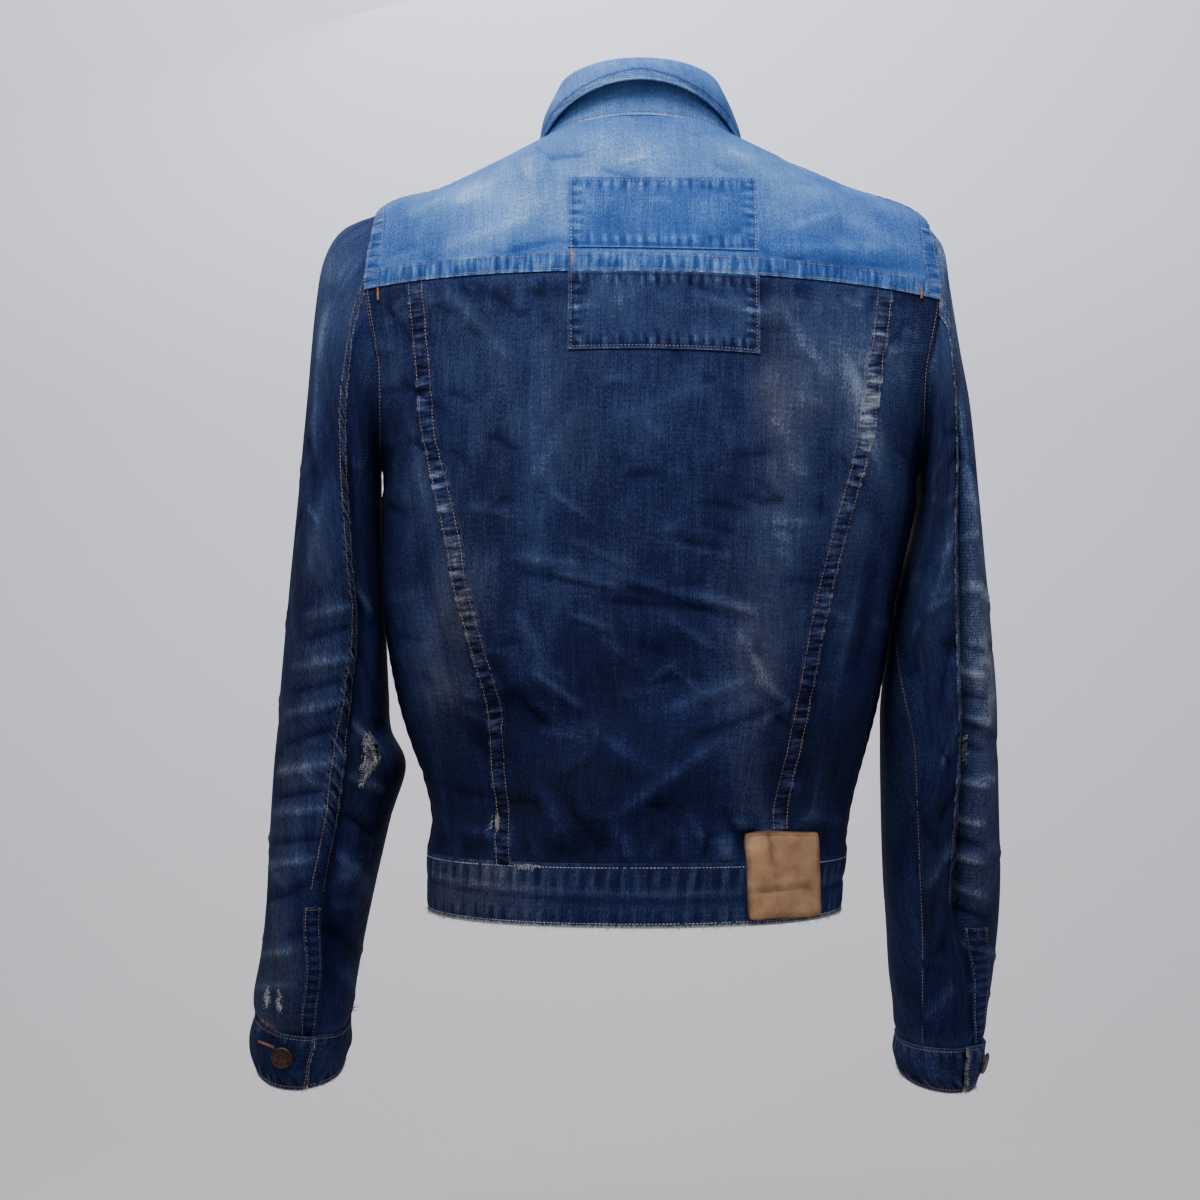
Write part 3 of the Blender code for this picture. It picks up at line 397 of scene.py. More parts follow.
def felling(points, edges, seed=0, period=9.0, base=CLOTH, rise=FELL_RISE, where=1.0, lift=1.45):
    """Wall, lift of the underside, raised share and wear of a cloth with felled edges."""
    rng = np.random.default_rng(seed)
    shape = points.shape[:2]
    wall, under, raised, wear = np.full(shape, base), np.zeros(shape), np.zeros(shape), np.zeros(shape)
    seam = np.zeros((*shape, 2))
    for edge in edges.split():
        away = away_from(points, edge) / MM
        run = lengths_of(points, 0 if edge in ("start", "end") else 1) / MM
        mask = (1 - smooth(13.4, 15.3, away)) * where
        a, b, c = rng.uniform(0, 6, 3)
        beat = np.sin(
            run * 2 * np.pi / period + a + 1.5 * np.sin(run / 37 + b) + 0.8 * np.sin(run / 13 + c)
        )
        pressed = np.exp(-(((away - 1.8) / 1.3) ** 2)) + np.exp(-(((away - 12.6) / 1.3) ** 2))
        wall = np.maximum(wall, base + mask * (rise + 0.22 * beat - 0.45 * pressed))
        worn = 0.25 * beat * np.exp(-(((away - 7) / 6) ** 2)) + 0.9 * np.exp(-((away / 0.9) ** 2))
        worn += 0.35 * np.exp(-(((away - 14.0) / 1.3) ** 2)) - 0.5 * pressed
        wear = np.where(mask > raised, mask * worn, wear)
        along = np.stack(np.broadcast_arrays(run * MM, away * MM), -1)
        seam = np.where((mask > raised)[..., None], along, seam)
        raised = np.maximum(raised, mask)
        under = np.maximum(under, lift * (1 - smooth(3.5, 6.5, away)) * where)
    return wall * MM, np.minimum(under, wall - 0.65) * MM, raised, wear, seam


def cloth(name, points, wall, material, outwards=1, under=0.0, holes=None, marks=None):
    """A sheet of cloth from a grid of points on its inside: two faces and the cut edges between them."""
    n = facing_of(points, outwards)
    rows, cols = points.shape[:2]
    wall = np.broadcast_to(wall, (rows, cols))
    outer = points + n * wall[..., None]
    inner = points + n * np.broadcast_to(under, (rows, cols))[..., None]
    count = rows * cols
    index = np.arange(count).reshape(rows, cols)
    quads = np.stack([index[:-1, :-1], index[1:, :-1], index[1:, 1:], index[:-1, 1:]], -1)
    quads = quads[~holes] if holes is not None else quads.reshape(-1, 4)
    if outwards < 0:
        quads = quads[:, ::-1]
    heads, tails = quads.ravel(), np.roll(quads, -1, axis=1).ravel()
    rim = ~np.isin(heads * count + tails, tails * count + heads)
    a, b = heads[rim], tails[rim]
    faces = np.concatenate([quads + count, quads[:, ::-1], np.stack([b + count, a + count, a, b], -1)])
    used, faces = np.unique(faces, return_inverse=True)
    faces = faces.reshape(-1, 4)
    corners = np.concatenate([inner.reshape(-1, 3), outer.reshape(-1, 3)])[used]
    mesh = bpy.data.meshes.new(name)
    mesh.vertices.add(len(corners))
    mesh.vertices.foreach_set("co", corners.astype(np.float32).ravel())
    mesh.loops.add(faces.size)
    mesh.loops.foreach_set("vertex_index", faces.astype(np.int32).ravel())
    mesh.polygons.add(len(faces))
    mesh.polygons.foreach_set("loop_start", np.arange(0, faces.size, 4, dtype=np.int32))
    mesh.polygons.foreach_set("loop_total", np.full(len(faces), 4, dtype=np.int32))
    mesh.update(calc_edges=True)
    mesh.polygons.foreach_set("use_smooth", np.ones(len(faces), dtype=bool))
    mesh.set_sharp_from_angle(angle=math.radians(55))
    across = lengths_of(points, 1)
    flat = np.stack([across - across[:, cols // 2][:, None], lengths_of(points, 0)], -1).reshape(-1, 2)
    layer = mesh.uv_layers.new(name="cut")
    layer.data.foreach_set("uv", np.tile(flat, (2, 1))[used][faces.ravel()].astype(np.float32).ravel())
    marks = marks or {}
    if "seam" in marks:
        layer = mesh.uv_layers.new(name="seam")
        values = np.broadcast_to(marks["seam"], (rows, cols, 2)).reshape(-1, 2)
        layer.data.foreach_set(
            "uv", np.tile(values, (2, 1))[used][faces.ravel()].astype(np.float32).ravel()
        )
    for key in ("fade", "raised", "rubbed", "soil"):
        values = np.broadcast_to(marks.get(key, 0.0), (rows, cols)).ravel()
        layer = mesh.attributes.new(key, "FLOAT", "POINT")
        layer.data.foreach_set("value", np.tile(values, 2)[used].astype(np.float32))
    mesh.materials.append(material)
    piece = bpy.data.objects.new(name, mesh)
    bpy.context.scene.collection.objects.link(piece)
    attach(piece, "root")
    return {"piece": piece, "outer": outer, "facing": n}


def denim(name, tones, streak=1.0, seed=0.0, grime=0.5, ladder=1.5):
    """Washed denim: tones from unworn to worn, with warp streaks, weft flecks, a twill rib and grime."""
    made = bpy.data.materials.new(name)
    made.use_nodes = True
    nodes, links = made.node_tree.nodes, made.node_tree.links
    shader = nodes["Principled BSDF"]
    shader.inputs["Roughness"].default_value = 0.9
    shader.inputs["Specular IOR Level"].default_value = 0.12
    place, seam = nodes.new("ShaderNodeUVMap"), nodes.new("ShaderNodeUVMap")
    place.uv_map = "cut"
    seam.uv_map = "seam"

    def noise(scale, detail, shift, distortion=0.0, source=place):
        spread = nodes.new("ShaderNodeMapping")
        spread.inputs["Scale"].default_value = (*scale, 1)
        spread.inputs["Location"].default_value = (shift + seed, shift * 1.7 - seed, 0)
        links.new(source.outputs["UV"], spread.inputs["Vector"])
        cloud = nodes.new("ShaderNodeTexNoise")
        cloud.inputs["Scale"].default_value = 1.0
        cloud.inputs["Detail"].default_value = detail
        cloud.inputs["Distortion"].default_value = distortion
        links.new(spread.outputs["Vector"], cloud.inputs["Vector"])
        return cloud.outputs["Fac"]

    def maths(kind, a, b, c=None):
        step = nodes.new("ShaderNodeMath")
        step.operation = kind
        for socket, value in zip(step.inputs, (a, b, c)):
            if value is None:
                continue
            if hasattr(value, "links"):
                links.new(value, socket)
            else:
                socket.default_value = value
        return step.outputs[0]

    def mark(key):
        read = nodes.new("ShaderNodeAttribute")
        read.attribute_name = key
        return read.outputs["Fac"]

    def blend(factor, a, b):
        mixed = nodes.new("ShaderNodeMix")
        mixed.data_type = "RGBA"
        for socket, value in zip(
            (mixed.inputs["Factor"], mixed.inputs["A"], mixed.inputs["B"]), (factor, a, b)
        ):
            if hasattr(value, "links"):
                links.new(value, socket)
            else:
                socket.default_value = value
        return mixed.outputs["Result"]

    warp, broad = noise((850, 45), 2, 3.1), noise((200, 14), 2, 7.7)
    weft, mottle = noise((60, 700), 2, 1.9), noise((30, 22), 5, 5.3, 0.5)
    grain, ribs = noise((1150, 420), 2, 9.2), noise((250, 45), 1, 4.4, 0.0, seam)
    fade, raised = mark("fade"), mark("raised")
    tone = fade
    for cloud, amount in (
        (warp, 0.34 * streak), (broad, 0.20 * streak), (weft, 0.22 * streak), (mottle, 0.40), (grain, 0.62)
    ):
        tone = maths("MULTIPLY_ADD", maths("SUBTRACT", cloud, 0.5), amount, tone)
    tone = maths("MULTIPLY_ADD", maths("MULTIPLY", maths("SUBTRACT", ribs, 0.5), ladder), raised, tone)
    ramp = nodes.new("ShaderNodeValToRGB")
    links.new(tone, ramp.inputs["Fac"])
    bands = ramp.color_ramp.elements
    while len(bands) < len(tones):
        bands.new(0.5)
    for band, (at, colour) in zip(bands, tones):
        band.position = at
        band.color = (*colour, 1)
    dirty = nodes.new("ShaderNodeMapRange")
    dirty.inputs["From Min"].default_value = 0.5
    dirty.inputs["From Max"].default_value = 0.75
    dirty.inputs["To Max"].default_value = grime
    links.new(noise((14, 6), 3, 8.8, 0.6), dirty.inputs["Value"])
    stained = nodes.new("ShaderNodeMix")
    stained.data_type = "RGBA"
    stained.blend_type = "MULTIPLY"
    stained.inputs["B"].default_value = (1.25, 0.98, 0.62, 1)
    links.new(dirty.outputs["Result"], stained.inputs["Factor"])
    links.new(ramp.outputs["Color"], stained.inputs["A"])
    rub = maths("ADD", mark("rubbed"), maths("MULTIPLY", maths("SUBTRACT", grain, 0.5), 0.9))
    rub = maths("ADD", rub, maths("MULTIPLY", maths("SUBTRACT", warp, 0.5), 0.7))
    bare = nodes.new("ShaderNodeMapRange")
    bare.inputs["From Min"].default_value = 0.45
    bare.inputs["From Max"].default_value = 0.85
    links.new(rub, bare.inputs["Value"])
    soiling = nodes.new("ShaderNodeMix")
    soiling.data_type = "RGBA"
    soiling.blend_type = "MULTIPLY"
    soiling.inputs["B"].default_value = (1.9, 1.25, 0.70, 1)
    links.new(
        maths("MULTIPLY", mark("soil"), maths("MULTIPLY_ADD", mottle, 0.9, 0.3)), soiling.inputs["Factor"]
    )
    links.new(stained.outputs["Result"], soiling.inputs["A"])
    soiled = soiling.outputs["Result"]
    links.new(blend(bare.outputs["Result"], soiled, (0.27, 0.265, 0.24, 1)), shader.inputs["Base Color"])
    twill = nodes.new("ShaderNodeTexWave")
    twill.bands_direction = "DIAGONAL"
    twill.inputs["Scale"].default_value = 260.0
    twill.inputs["Distortion"].default_value = 1.5
    links.new(place.outputs["UV"], twill.inputs["Vector"])
    height = maths("MULTIPLY_ADD", twill.outputs["Fac"], 0.35, maths("MULTIPLY", warp, 0.8))
    height = maths("MULTIPLY_ADD", grain, 0.5, height)
    height = maths("MULTIPLY_ADD", mottle, 1.2, height)
    height = maths("MULTIPLY_ADD", maths("MULTIPLY", ribs, raised), 5.0, height)
    relief = nodes.new("ShaderNodeBump")
    relief.inputs["Strength"].default_value = 0.6
    relief.inputs["Distance"].default_value = 0.0007
    links.new(height, relief.inputs["Height"])
    links.new(relief.outputs["Normal"], shader.inputs["Normal"])
    return made


DARK_TONES = [
    (0.0, (0.0010, 0.0022, 0.0095)),
    (0.30, (0.0058, 0.0105, 0.052)),
    (0.60, (0.031, 0.050, 0.122)),
    (1.0, (0.19, 0.27, 0.39)),
]


def soft_spots(points, base, spots):
    """How worn or soiled the colour is, with some spots of painted shade: a base value with soft spots (x, z, half
    width, half height, amount).
    """
    tone = np.full(points.shape[:2], base, float)
    for x, z, wide, tall, amount in spots:
        tone += (
            amount
            * np.exp(-(((points[..., 0] / MM - x) / wide) ** 2) - ((points[..., 2] / MM - z) / tall) ** 2)
        )
    return tone


def seam_line(cut, edge, inset, begin=0.0, end=1.0):
    """Points and facings on the outer face at a distance in from one edge of a piece."""
    outer, facing = cut["outer"], cut["facing"]
    if edge in ("low", "high"):
        outer, facing = outer.transpose(1, 0, 2), facing.transpose(1, 0, 2)
    if edge in ("end", "high"):
        outer, facing = outer[:, ::-1], facing[:, ::-1]
    outer = outer[int(begin * (len(outer) - 1)) : int(math.ceil(end * (len(outer) - 1))) + 1]
    facing = facing[int(begin * (len(facing) - 1)) : int(math.ceil(end * (len(facing) - 1))) + 1]
    lengths = lengths_of(outer, 1)
    places, turns = [], []
    for line, run, turn in zip(outer, lengths, facing):
        at = np.interp(inset * MM, run, np.arange(len(run)))
        j = min(int(at), len(run) - 2)
        places.append(line[j] + (line[j + 1] - line[j]) * (at - j))
        turns.append(turn[j])
    return np.array(places), np.array(turns)


def on_cloth(cut, x, z):
    """The place on the back of a piece, and its facing, behind a point (x, z) in millimetres."""
    outer, facing = cut["outer"].reshape(-1, 3), cut["facing"].reshape(-1, 3)
    away = (outer[:, 0] - x * MM) ** 2 + (outer[:, 2] - z * MM) ** 2 + np.where(facing[:, 1] > 0.05, 0, 1.0)
    k = int(np.argmin(away))
    dx, dz = x * MM - outer[k, 0], z * MM - outer[k, 2]
    dy = -(facing[k, 0] * dx + facing[k, 2] * dz) / facing[k, 1]
    return outer[k] + np.array([dx, dy, dz]), facing[k]


def path_on(cut, places, step=2.0):
    """A line on the back of a piece through places (x, z)."""
    places = np.array(places, float)
    run = np.concatenate([[0], np.cumsum(np.hypot(*np.diff(places, axis=0).T))])
    at = np.linspace(0, run[-1], max(2, int(run[-1] / step)))
    found = [
        on_cloth(cut, x, z) for x,
        z in zip(np.interp(at, run, places[:, 0]), np.interp(at, run, places[:, 1]))
    ]
    return np.array([p for p, _ in found]), np.array([n for _, n in found])


def thread(name, colour):
    made = bpy.data.materials.new(name)
    made.use_nodes = True
    nodes, links = made.node_tree.nodes, made.node_tree.links
    nodes["Principled BSDF"].inputs["Roughness"].default_value = 0.75
    where = nodes.new("ShaderNodeNewGeometry")
    cloud = nodes.new("ShaderNodeTexNoise")
    cloud.inputs["Scale"].default_value = 90
    links.new(where.outputs["Position"], cloud.inputs["Vector"])
    ramp = nodes.new("ShaderNodeValToRGB")
    ramp.color_ramp.elements[0].position = 0.35
    ramp.color_ramp.elements[1].position = 0.65
    ramp.color_ramp.elements[0].color = (*[c * 0.5 for c in colour], 1)
    ramp.color_ramp.elements[1].color = (*[min(1, c * 1.3) for c in colour], 1)
    links.new(cloud.outputs["Fac"], ramp.inputs["Fac"])
    links.new(ramp.outputs["Color"], nodes["Principled BSDF"].inputs["Base Color"])
    return made


TAN_THREAD = thread("tan_thread", (0.22, 0.150, 0.100))
ORANGE_THREAD = thread("orange_thread", (0.40, 0.15, 0.04))
GREY_THREAD = thread("faded_thread", (0.26, 0.28, 0.31))
BARE_THREAD = thread("bare_thread", (0.52, 0.51, 0.47))


def joined(name, corners, faces, material):
    mesh = bpy.data.meshes.new(name)
    mesh.from_pydata([tuple(c) for c in corners], [], faces)
    for face in mesh.polygons:
        face.use_smooth = True
    mesh.materials.append(material)
    made = bpy.data.objects.new(name, mesh)
    bpy.context.scene.collection.objects.link(made)
    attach(made, "root")
    return made


def sewn(name, lines, material, pitch=2.7, length=2.4, radius=0.36, skip=0.03, seed=1):
    """Rows of stitches: short rounded lengths of thread that lie half sunk along each line."""
    rng = np.random.default_rng(seed)
    corners, faces = [], []
    ring = [(math.cos(a), math.sin(a)) for a in np.linspace(0, 2 * math.pi, 6)[:-1]]
    for points, facing in lines:
        run = np.concatenate([[0], np.cumsum(np.linalg.norm(np.diff(points, axis=0), axis=1))])
        starts = np.arange(0.0, max(run[-1] - length * MM, 1e-6), pitch * MM)
        for start in starts[rng.random(len(starts)) >= skip]:
            ends = (
                start
                + np.array([0, 0.22, 0.78, 1.0]) * min(length * MM, run[-1]) * rng.uniform(0.92, 1.06)
            )
            spots = np.stack([np.interp(ends, run, points[:, k]) for k in range(3)], -1)
            out = np.array([np.interp(ends[1], run, facing[:, k]) for k in range(3)])
            along = (spots[3] - spots[0]) / max(np.linalg.norm(spots[3] - spots[0]), 1e-9)
            side = np.cross(along, out)
            side /= max(np.linalg.norm(side), 1e-9)
            out = np.cross(side, along) * radius * MM
            side *= radius * MM
            base = len(corners)
            corners.append(spots[0] - out * 0.4)
            for spot in spots[1:3]:
                corners += [spot - out * 0.1 + side * a + out * (b * 0.85) for a, b in ring]
            corners.append(spots[3] - out * 0.4)
            for k in range(5):
                m = (k + 1) % 5
                faces.append((base, base + 1 + k, base + 1 + m))
                faces.append((base + 1 + k, base + 6 + k, base + 6 + m, base + 1 + m))
                faces.append((base + 6 + k, base + 11, base + 6 + m))
    return joined(name, corners, faces, material)


def frayed(
    name,
    lines,
    count,
    length=(0.8, 2.4),
    way=(0, 0, -1),
    lean=0.5,
    material=BARE_THREAD,
    radius=0.14,
    seed=1
):
    """Loose ends of thread: thin curled lengths that leave the cloth along each line."""
    rng = np.random.default_rng(seed)
    corners, faces = [], []
    for points, facing in lines:
        for at in rng.uniform(0, len(points) - 1.001, count):
            i = int(at)
            root = points[i] + (points[i + 1] - points[i]) * (at - i) - facing[i] * 0.3 * MM
            aim = np.array(way, float) + facing[i] * lean + rng.normal(0, 0.45, 3)
            aim /= np.linalg.norm(aim)
            curl, reach = rng.normal(0, 0.4, 3), rng.uniform(*length) * MM
            side = np.cross(aim, (0.31, 0.9, 0.2))
            side /= np.linalg.norm(side)
            up = np.cross(side, aim)
            base = len(corners)
            for t in (0, 0.35, 0.7, 1.0):
                spot = root + (aim * t + curl * t * t) * reach
                thin = radius * (1 - 0.5 * t) * MM
                corners += [
                    spot + (side * math.cos(a) + up * math.sin(a)) * thin for a in (0, 2.094, 4.189)
                ]
            for k in range(3):
                m = (k + 1) % 3
                faces += [
                    (base + 3 * j + k, base + 3 * j + m, base + 3 * j + 3 + m, base + 3 * j + 3 + k)
                    for j in range(3)
                ]
            faces += [(base + 2, base + 1, base), (base + 9, base + 10, base + 11)]
    return joined(name, corners, faces, material)


def across_line(cut, places, width, pitch=0.6):
    """Short crossing lines for a bar tack or buttonhole, along a path on the back of a piece."""
    points, facing = path_on(cut, places, pitch)
    along = np.gradient(points, axis=0)
    side = np.cross(along, facing)
    side *= (width / 2 * MM) / np.linalg.norm(side, axis=-1, keepdims=True)
    return [(np.array([p - s, p + s]), np.array([n, n])) for p, s, n in zip(points, side, facing)]


denim_back = denim("denim_back", DARK_TONES, seed=2.0)
# Lighter and darker spots of the back panel and side pieces: worn colour, darker towards the bottom, and one painted
# shadow.
BACK_WASH_AND_SHADE = [
    (0, -105, 200, 26, 0.12),
    (-105, -270, 22, 90, 0.26),
    (-80, -360, 26, 60, 0.12),
    (110, -180, 60, 60, 0.10),
    (10, -200, 90, 60, 0.12),
    (70, -260, 22, 100, 0.10),
    (150, -380, 18, 70, 0.34),
    (120, -330, 20, 50, 0.10),
    (-150, -170, 40, 60, 0.28),
    (-165, -260, 24, 90, 0.14),
    (0, -470, 200, 60, -0.12),
    (60, -500, 60, 60, -0.08),
    (-120, -440, 40, 60, -0.06),
    (-75, -460, 20, 70, 0.24),
    (-95, -390, 14, 50, 0.10),
    (60, -440, 34, 16, 0.12),
    (20, -330, 60, 30, 0.08),
    # Painted shadow: a narrow dark band across the back just under the yoke seam.
    (0, -119, 240, 7, -0.16),
]
# Greyed, soiled places on the back: (x, z, half width, half height, amount).
BACK_SOIL = [
    (128, -370, 20, 70, 0.8),
    (100, -250, 12, 90, 0.4),
    (-88, -400, 26, 90, 0.5),
    (-100, -200, 20, 60, 0.45),
    (-140, -190, 30, 40, 0.4)
]


def crest_wear(points, ridges, u=None, v=None):
    """Creases are rubbed pale on their crests and stay dark in their troughs."""
    u = points[..., 0] / MM if u is None else u
    v = points[..., 2] / MM if v is None else v
    return 0.11 * np.clip(ridge_heights(u, v, ridges), -1.2, 1.8)


def back_form(share, level):
    right = turned(seam_angle(-1, level), level, -LAP)
    left = turned(seam_angle(1, level), level, LAP)
    return body_form(right + (left - right) * share, level)


def creased(points, ridges, outwards=1, u=None, v=None):
    u = points[..., 0] / MM if u is None else u
    v = points[..., 2] / MM if v is None else v
    return points + facing_of(points, outwards) * (ridge_heights(u, v, ridges) * MM)[..., None]


back_points, _, back_level = lay(back_form, WAIST_SEAM - 0.05, YOKE_SEAM + 0.07, "start end", 3.0, 2.4)
BACK_CREASES += small_creases(120, (-200, 190), (-520, -110), 12, 21)
pucker = np.random.default_rng(17)
for x in np.arange(-196, 176, 13.0):
    x, reach, slant = x + pucker.uniform(-4, 4), pucker.uniform(8, 26), pucker.uniform(-9, 9)
    BACK_CREASES.append(
        (
            x,
            -108 - 0.00035 * x * x,
            x + slant,
            -112 - reach,
            3.2,
            pucker.choice((-1, 1)) * pucker.uniform(0.8, 1.7)
        )
    )
    BACK_CREASES.append(
        (
            x + 5,
            -530,
            x + 5 + slant,
            -520 + 0.8 * reach,
            3.2,
            pucker.choice((-1, 1)) * pucker.uniform(0.8, 1.6)
        )
    )
back_points = creased(back_points, BACK_CREASES)
back_wall, back_under, back_raised, back_wear, back_seam = felling(
    back_points, "start end", seed=3, period=13.0, where=1 - smooth(7.86, 7.96, back_level)
)
back_tear = (
    0.8
    * np.exp(-(((back_points[..., 0] / MM - 101) / 4) ** 2) - ((back_points[..., 2] / MM + 503) / 9) ** 2)
)
back_panel = cloth(
    "centre_back",
    back_points,
    back_wall,
    denim_back,
    under=back_under,
    marks={
        "fade": soft_spots(back_points, 0.28, BACK_WASH_AND_SHADE) + crest_wear(back_points, BACK_CREASES)
        + 0.04 * back_raised + 0.14 * back_wear,
        "raised": back_raised,
        "rubbed": back_tear,
        "seam": back_seam,
        "soil": soft_spots(back_points, 0.05, BACK_SOIL) + 0.15 * back_raised,
    },
)
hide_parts("back_panel")
frayed(
    "back_tear_threads",
    [path_on(back_panel, [(101, -496), (102, -510)]), path_on(back_panel, [(105, -498), (106, -508)])],
    14,
    (1.5, 4.0),
    seed=5
)
back_stitching = sewn(
    "centre_back_stitching",
    [seam_line(back_panel, edge, inset) for edge in ("start", "end") for inset in (1.8, 12.6)],
    TAN_THREAD,
)

# Back side pieces: one on each side, from the centre back round to the side seam and up to the
# armhole. One layer of the same denim, lapped over the fronts at the side seams.
ARMHOLE_MID, ARMHOLE_REACH = 7.5, 1.5
ARMHOLE_BACK, ARMHOLE_FRONT = math.radians(32), math.radians(36)


def armhole_angle(side, turn):
    """Angle and level on the armhole: turn 0 is the armpit, 90 the back, 180 the shoulder."""
    t = np.radians(turn)
    reach = np.where(np.sin(t) >= 0, ARMHOLE_BACK, ARMHOLE_FRONT)
    return side * (math.pi / 2 - reach * np.sin(t)), ARMHOLE_MID - ARMHOLE_REACH * np.cos(t)


denim_side = denim("denim_sides", DARK_TONES, seed=11.0, grime=0.7)
for word, side in (("left", 1), ("right", -1)):

    def side_form(share, level, side=side):
        inner = turned(seam_angle(side, level), level, -side * TUCK)
        turn = np.degrees(np.arccos(np.clip((ARMHOLE_MID - level) / ARMHOLE_REACH, -1, 1)))
        outer = np.where(level < ARMPIT, side * math.pi / 2, armhole_angle(side, turn)[0])
        outer = turned(outer, level, side * LAP * (1 - smooth(ARMPIT - 0.2, ARMPIT, level)))
        first, last = (inner, outer) if side > 0 else (outer, inner)
        return body_form(first + (last - first) * share, level)

    points, _, level = lay(side_form, WAIST_SEAM - 0.05, YOKE_SEAM + 0.07)
    points = creased(points, BACK_CREASES)
    edge = "end" if side > 0 else "start"
    wall, under, raised, wear, seam = felling(
        points, edge, seed=5 + side, period=12.0, where=1 - smooth(ARMPIT - 0.3, ARMPIT, level)
    )
    tone = (
        crest_wear(points, BACK_CREASES)
        + soft_spots(
            points,
            0.31,
            BACK_WASH_AND_SHADE
            + [(170, -470, 40, 90, -0.16), (-175, -450, 40, 120, -0.10), (200, -150, 30, 60, 0.05)]
        )
    )
    piece = cloth(
        f"back_side_piece_{word}",
        points,
        wall,
        denim_side,
        under=under,
        marks={
            "fade": tone + 0.04 * raised + 0.14 * wear,
            "raised": raised,
            "seam": seam,
            "soil": soft_spots(points, 0.05, BACK_SOIL) + 0.15 * raised
        }
    )
    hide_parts(f"back_side_{word}")
    stitching = sewn(
        f"back_side_stitching_{word}",
        [seam_line(piece, edge, 1.8), seam_line(piece, edge, 12.6, 0.0, 0.6)],
        TAN_THREAD,
        seed=7
    )

# Yoke: one piece of paler, more washed denim across the shoulder blades and over the shoulders. Its
# lower edge is felled over the back and its ends are sewn down along the armholes.
LIGHT_TONES = [
    (0.0, (0.008, 0.026, 0.12)),
    (0.35, (0.026, 0.078, 0.26)),
    (0.65, (0.090, 0.195, 0.44)),
    (1.0, (0.34, 0.49, 0.72)),
]
YOKE_TURN = math.degrees(math.acos((ARMHOLE_MID - YOKE_SEAM) / ARMHOLE_REACH))
YOKE_TURNS = (YOKE_TURN, 128.0, 146.0, 163.0, 180.0)
YOKE_CREASES = [
    (150.0, -90.0, 70.0, -60.0, 8.0, 1.2),
    (120.0, -98.0, 40.0, -78.0, 6.0, -1.0),
    (-100.0, -88.0, -190.0, -84.0, 9.0, 1.4),
    (-120.0, -98.0, -210.0, -98.0, 6.0, -1.2),
    (-150.0, -60.0, -205.0, -88.0, 8.0, 1.2),
    (30.0, -20.0, 55.0, -90.0, 10.0, 1.0),
    (60.0, -10.0, 150.0, -55.0, 12.0, 1.0),
    (-60.0, -10.0, -140.0, -50.0, 12.0, 1.0),
]
YOKE_WASH = [
    (90, -50, 60, 34, 0.20),
    (0, -12, 60, 18, 0.20),
    (-19, -30, 52, 12, 0.10),
    (160, -80, 30, 20, -0.10),
    (-150, -90, 60, 22, -0.16),
    (-190, -65, 40, 24, -0.04),
    (-110, -40, 40, 26, 0.06),
    (60, -85, 30, 12, -0.08),
    (0, -100, 300, 10, -0.06),
]
denim_yoke = denim("denim_yoke", LIGHT_TONES, streak=0.8, seed=23.0, grime=0.15, ladder=1.3)


def yoke_form(share, row):
    turn = np.where(row < 0, YOKE_TURN + 18.5 * row, np.interp(row, range(5), YOKE_TURNS))
    end, end_level = armhole_angle(1, turn)
    shoulder = np.clip((row - 4) / 6, 0, 1)
    end = np.where(row > 4, math.pi / 2, end)
    end_level = np.where(row > 4, SHOULDER_TIP + (NECK - SHOULDER_TIP) * shoulder, end_level)
    centre = np.where(row < 4, YOKE_SEAM + 0.32 * row, 9.28 + (NECK - 9.28) * shoulder)
    end = turned(end, end_level, np.where(row > 4, LAP, 0.6))
    across = 2 * share - 1
    return body_form(end * across, centre + (end_level - centre) * np.abs(across) ** 4)


points, _, row = lay(yoke_form, -0.085, 10.0, "start end low", 3.6, 2.6)
YOKE_CREASES += small_creases(34, (-200, 180), (-100, 0), 10, 22)
points = creased(points, YOKE_CREASES)
wall, under, raised, wear, seam = felling(points, "start end low", seed=9, period=8.3)
yoke = cloth(
    "yoke",
    points,
    wall,
    denim_yoke,
    under=under,
    marks={
        "fade": soft_spots(points, 0.47, YOKE_WASH) + crest_wear(points, YOKE_CREASES) - 0.04 * raised
        + 0.14 * wear,
        "raised": raised,
        "seam": seam,
        "soil": 0.12 * raised
    },
)
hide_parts("back_yoke")
yoke_rows = sewn(
    "yoke_stitching",
    [seam_line(yoke, "low", inset) for inset in (1.8, 12.6)]
    + [seam_line(yoke, edge, inset) for edge in ("start", "end") for inset in (1.8, 12.6)],
    TAN_THREAD,
    seed=4,
)

# Patch: a plain rectangle of thin denim sewn across the yoke seam with one row of thread all round.
# It is folded under the seam, and is puckered and rubbed along its stitching.
PATCH_LEFT, PATCH_RIGHT = 50.0, -88.0
PATCH_CLOTH = 0.9


def place_behind(x, level, lift):
    """The place on the back of the body at a distance x from the middle, lifted off the form."""
    ring = along_keys(BODY_RINGS, level)
    share = (x - ring[..., 4]) / (ring[..., 3] - CLOTH)
    square = ring[..., 7]
    angle = np.sign(share) * np.arctan2(np.abs(share), (1 - np.abs(share) ** square) ** (1 / square))
    return body_form(angle, level) + body_facing(angle, level) * (lift * MM)


def edged(points, seed, amount=0.42, base=PATCH_CLOTH):
    """Wall and wear of a sewn-down piece: thin at its stitching and puckered beside it."""
    rng = np.random.default_rng(seed)
    near = np.min(
        np.broadcast_arrays(*[away_from(points, edge) for edge in ("start", "end", "low", "high")]), axis=0
    ) / MM
    beside = np.minimum(away_from(points, "start"), away_from(points, "end"))
    run = np.where(beside < near * MM + 1e-7, lengths_of(points, 0), lengths_of(points, 1)) / MM
    a, b = rng.uniform(0, 6, 2)
    beat = np.sin(run * 2 * np.pi / 8.0 + a + 1.5 * np.sin(run / 31 + b))
    lip = np.exp(-(((near - 6) / 4.5) ** 2))
    pressed = np.exp(-(((near - 2.4) / 1.4) ** 2))
    wear = 0.8 * np.exp(-((near / 1.3) ** 2)) + 0.75 * beat * lip - 0.45 * pressed
    return (base + amount * beat * lip - 0.4 * pressed) * MM, wear, near, np.stack([run, near], -1) * MM


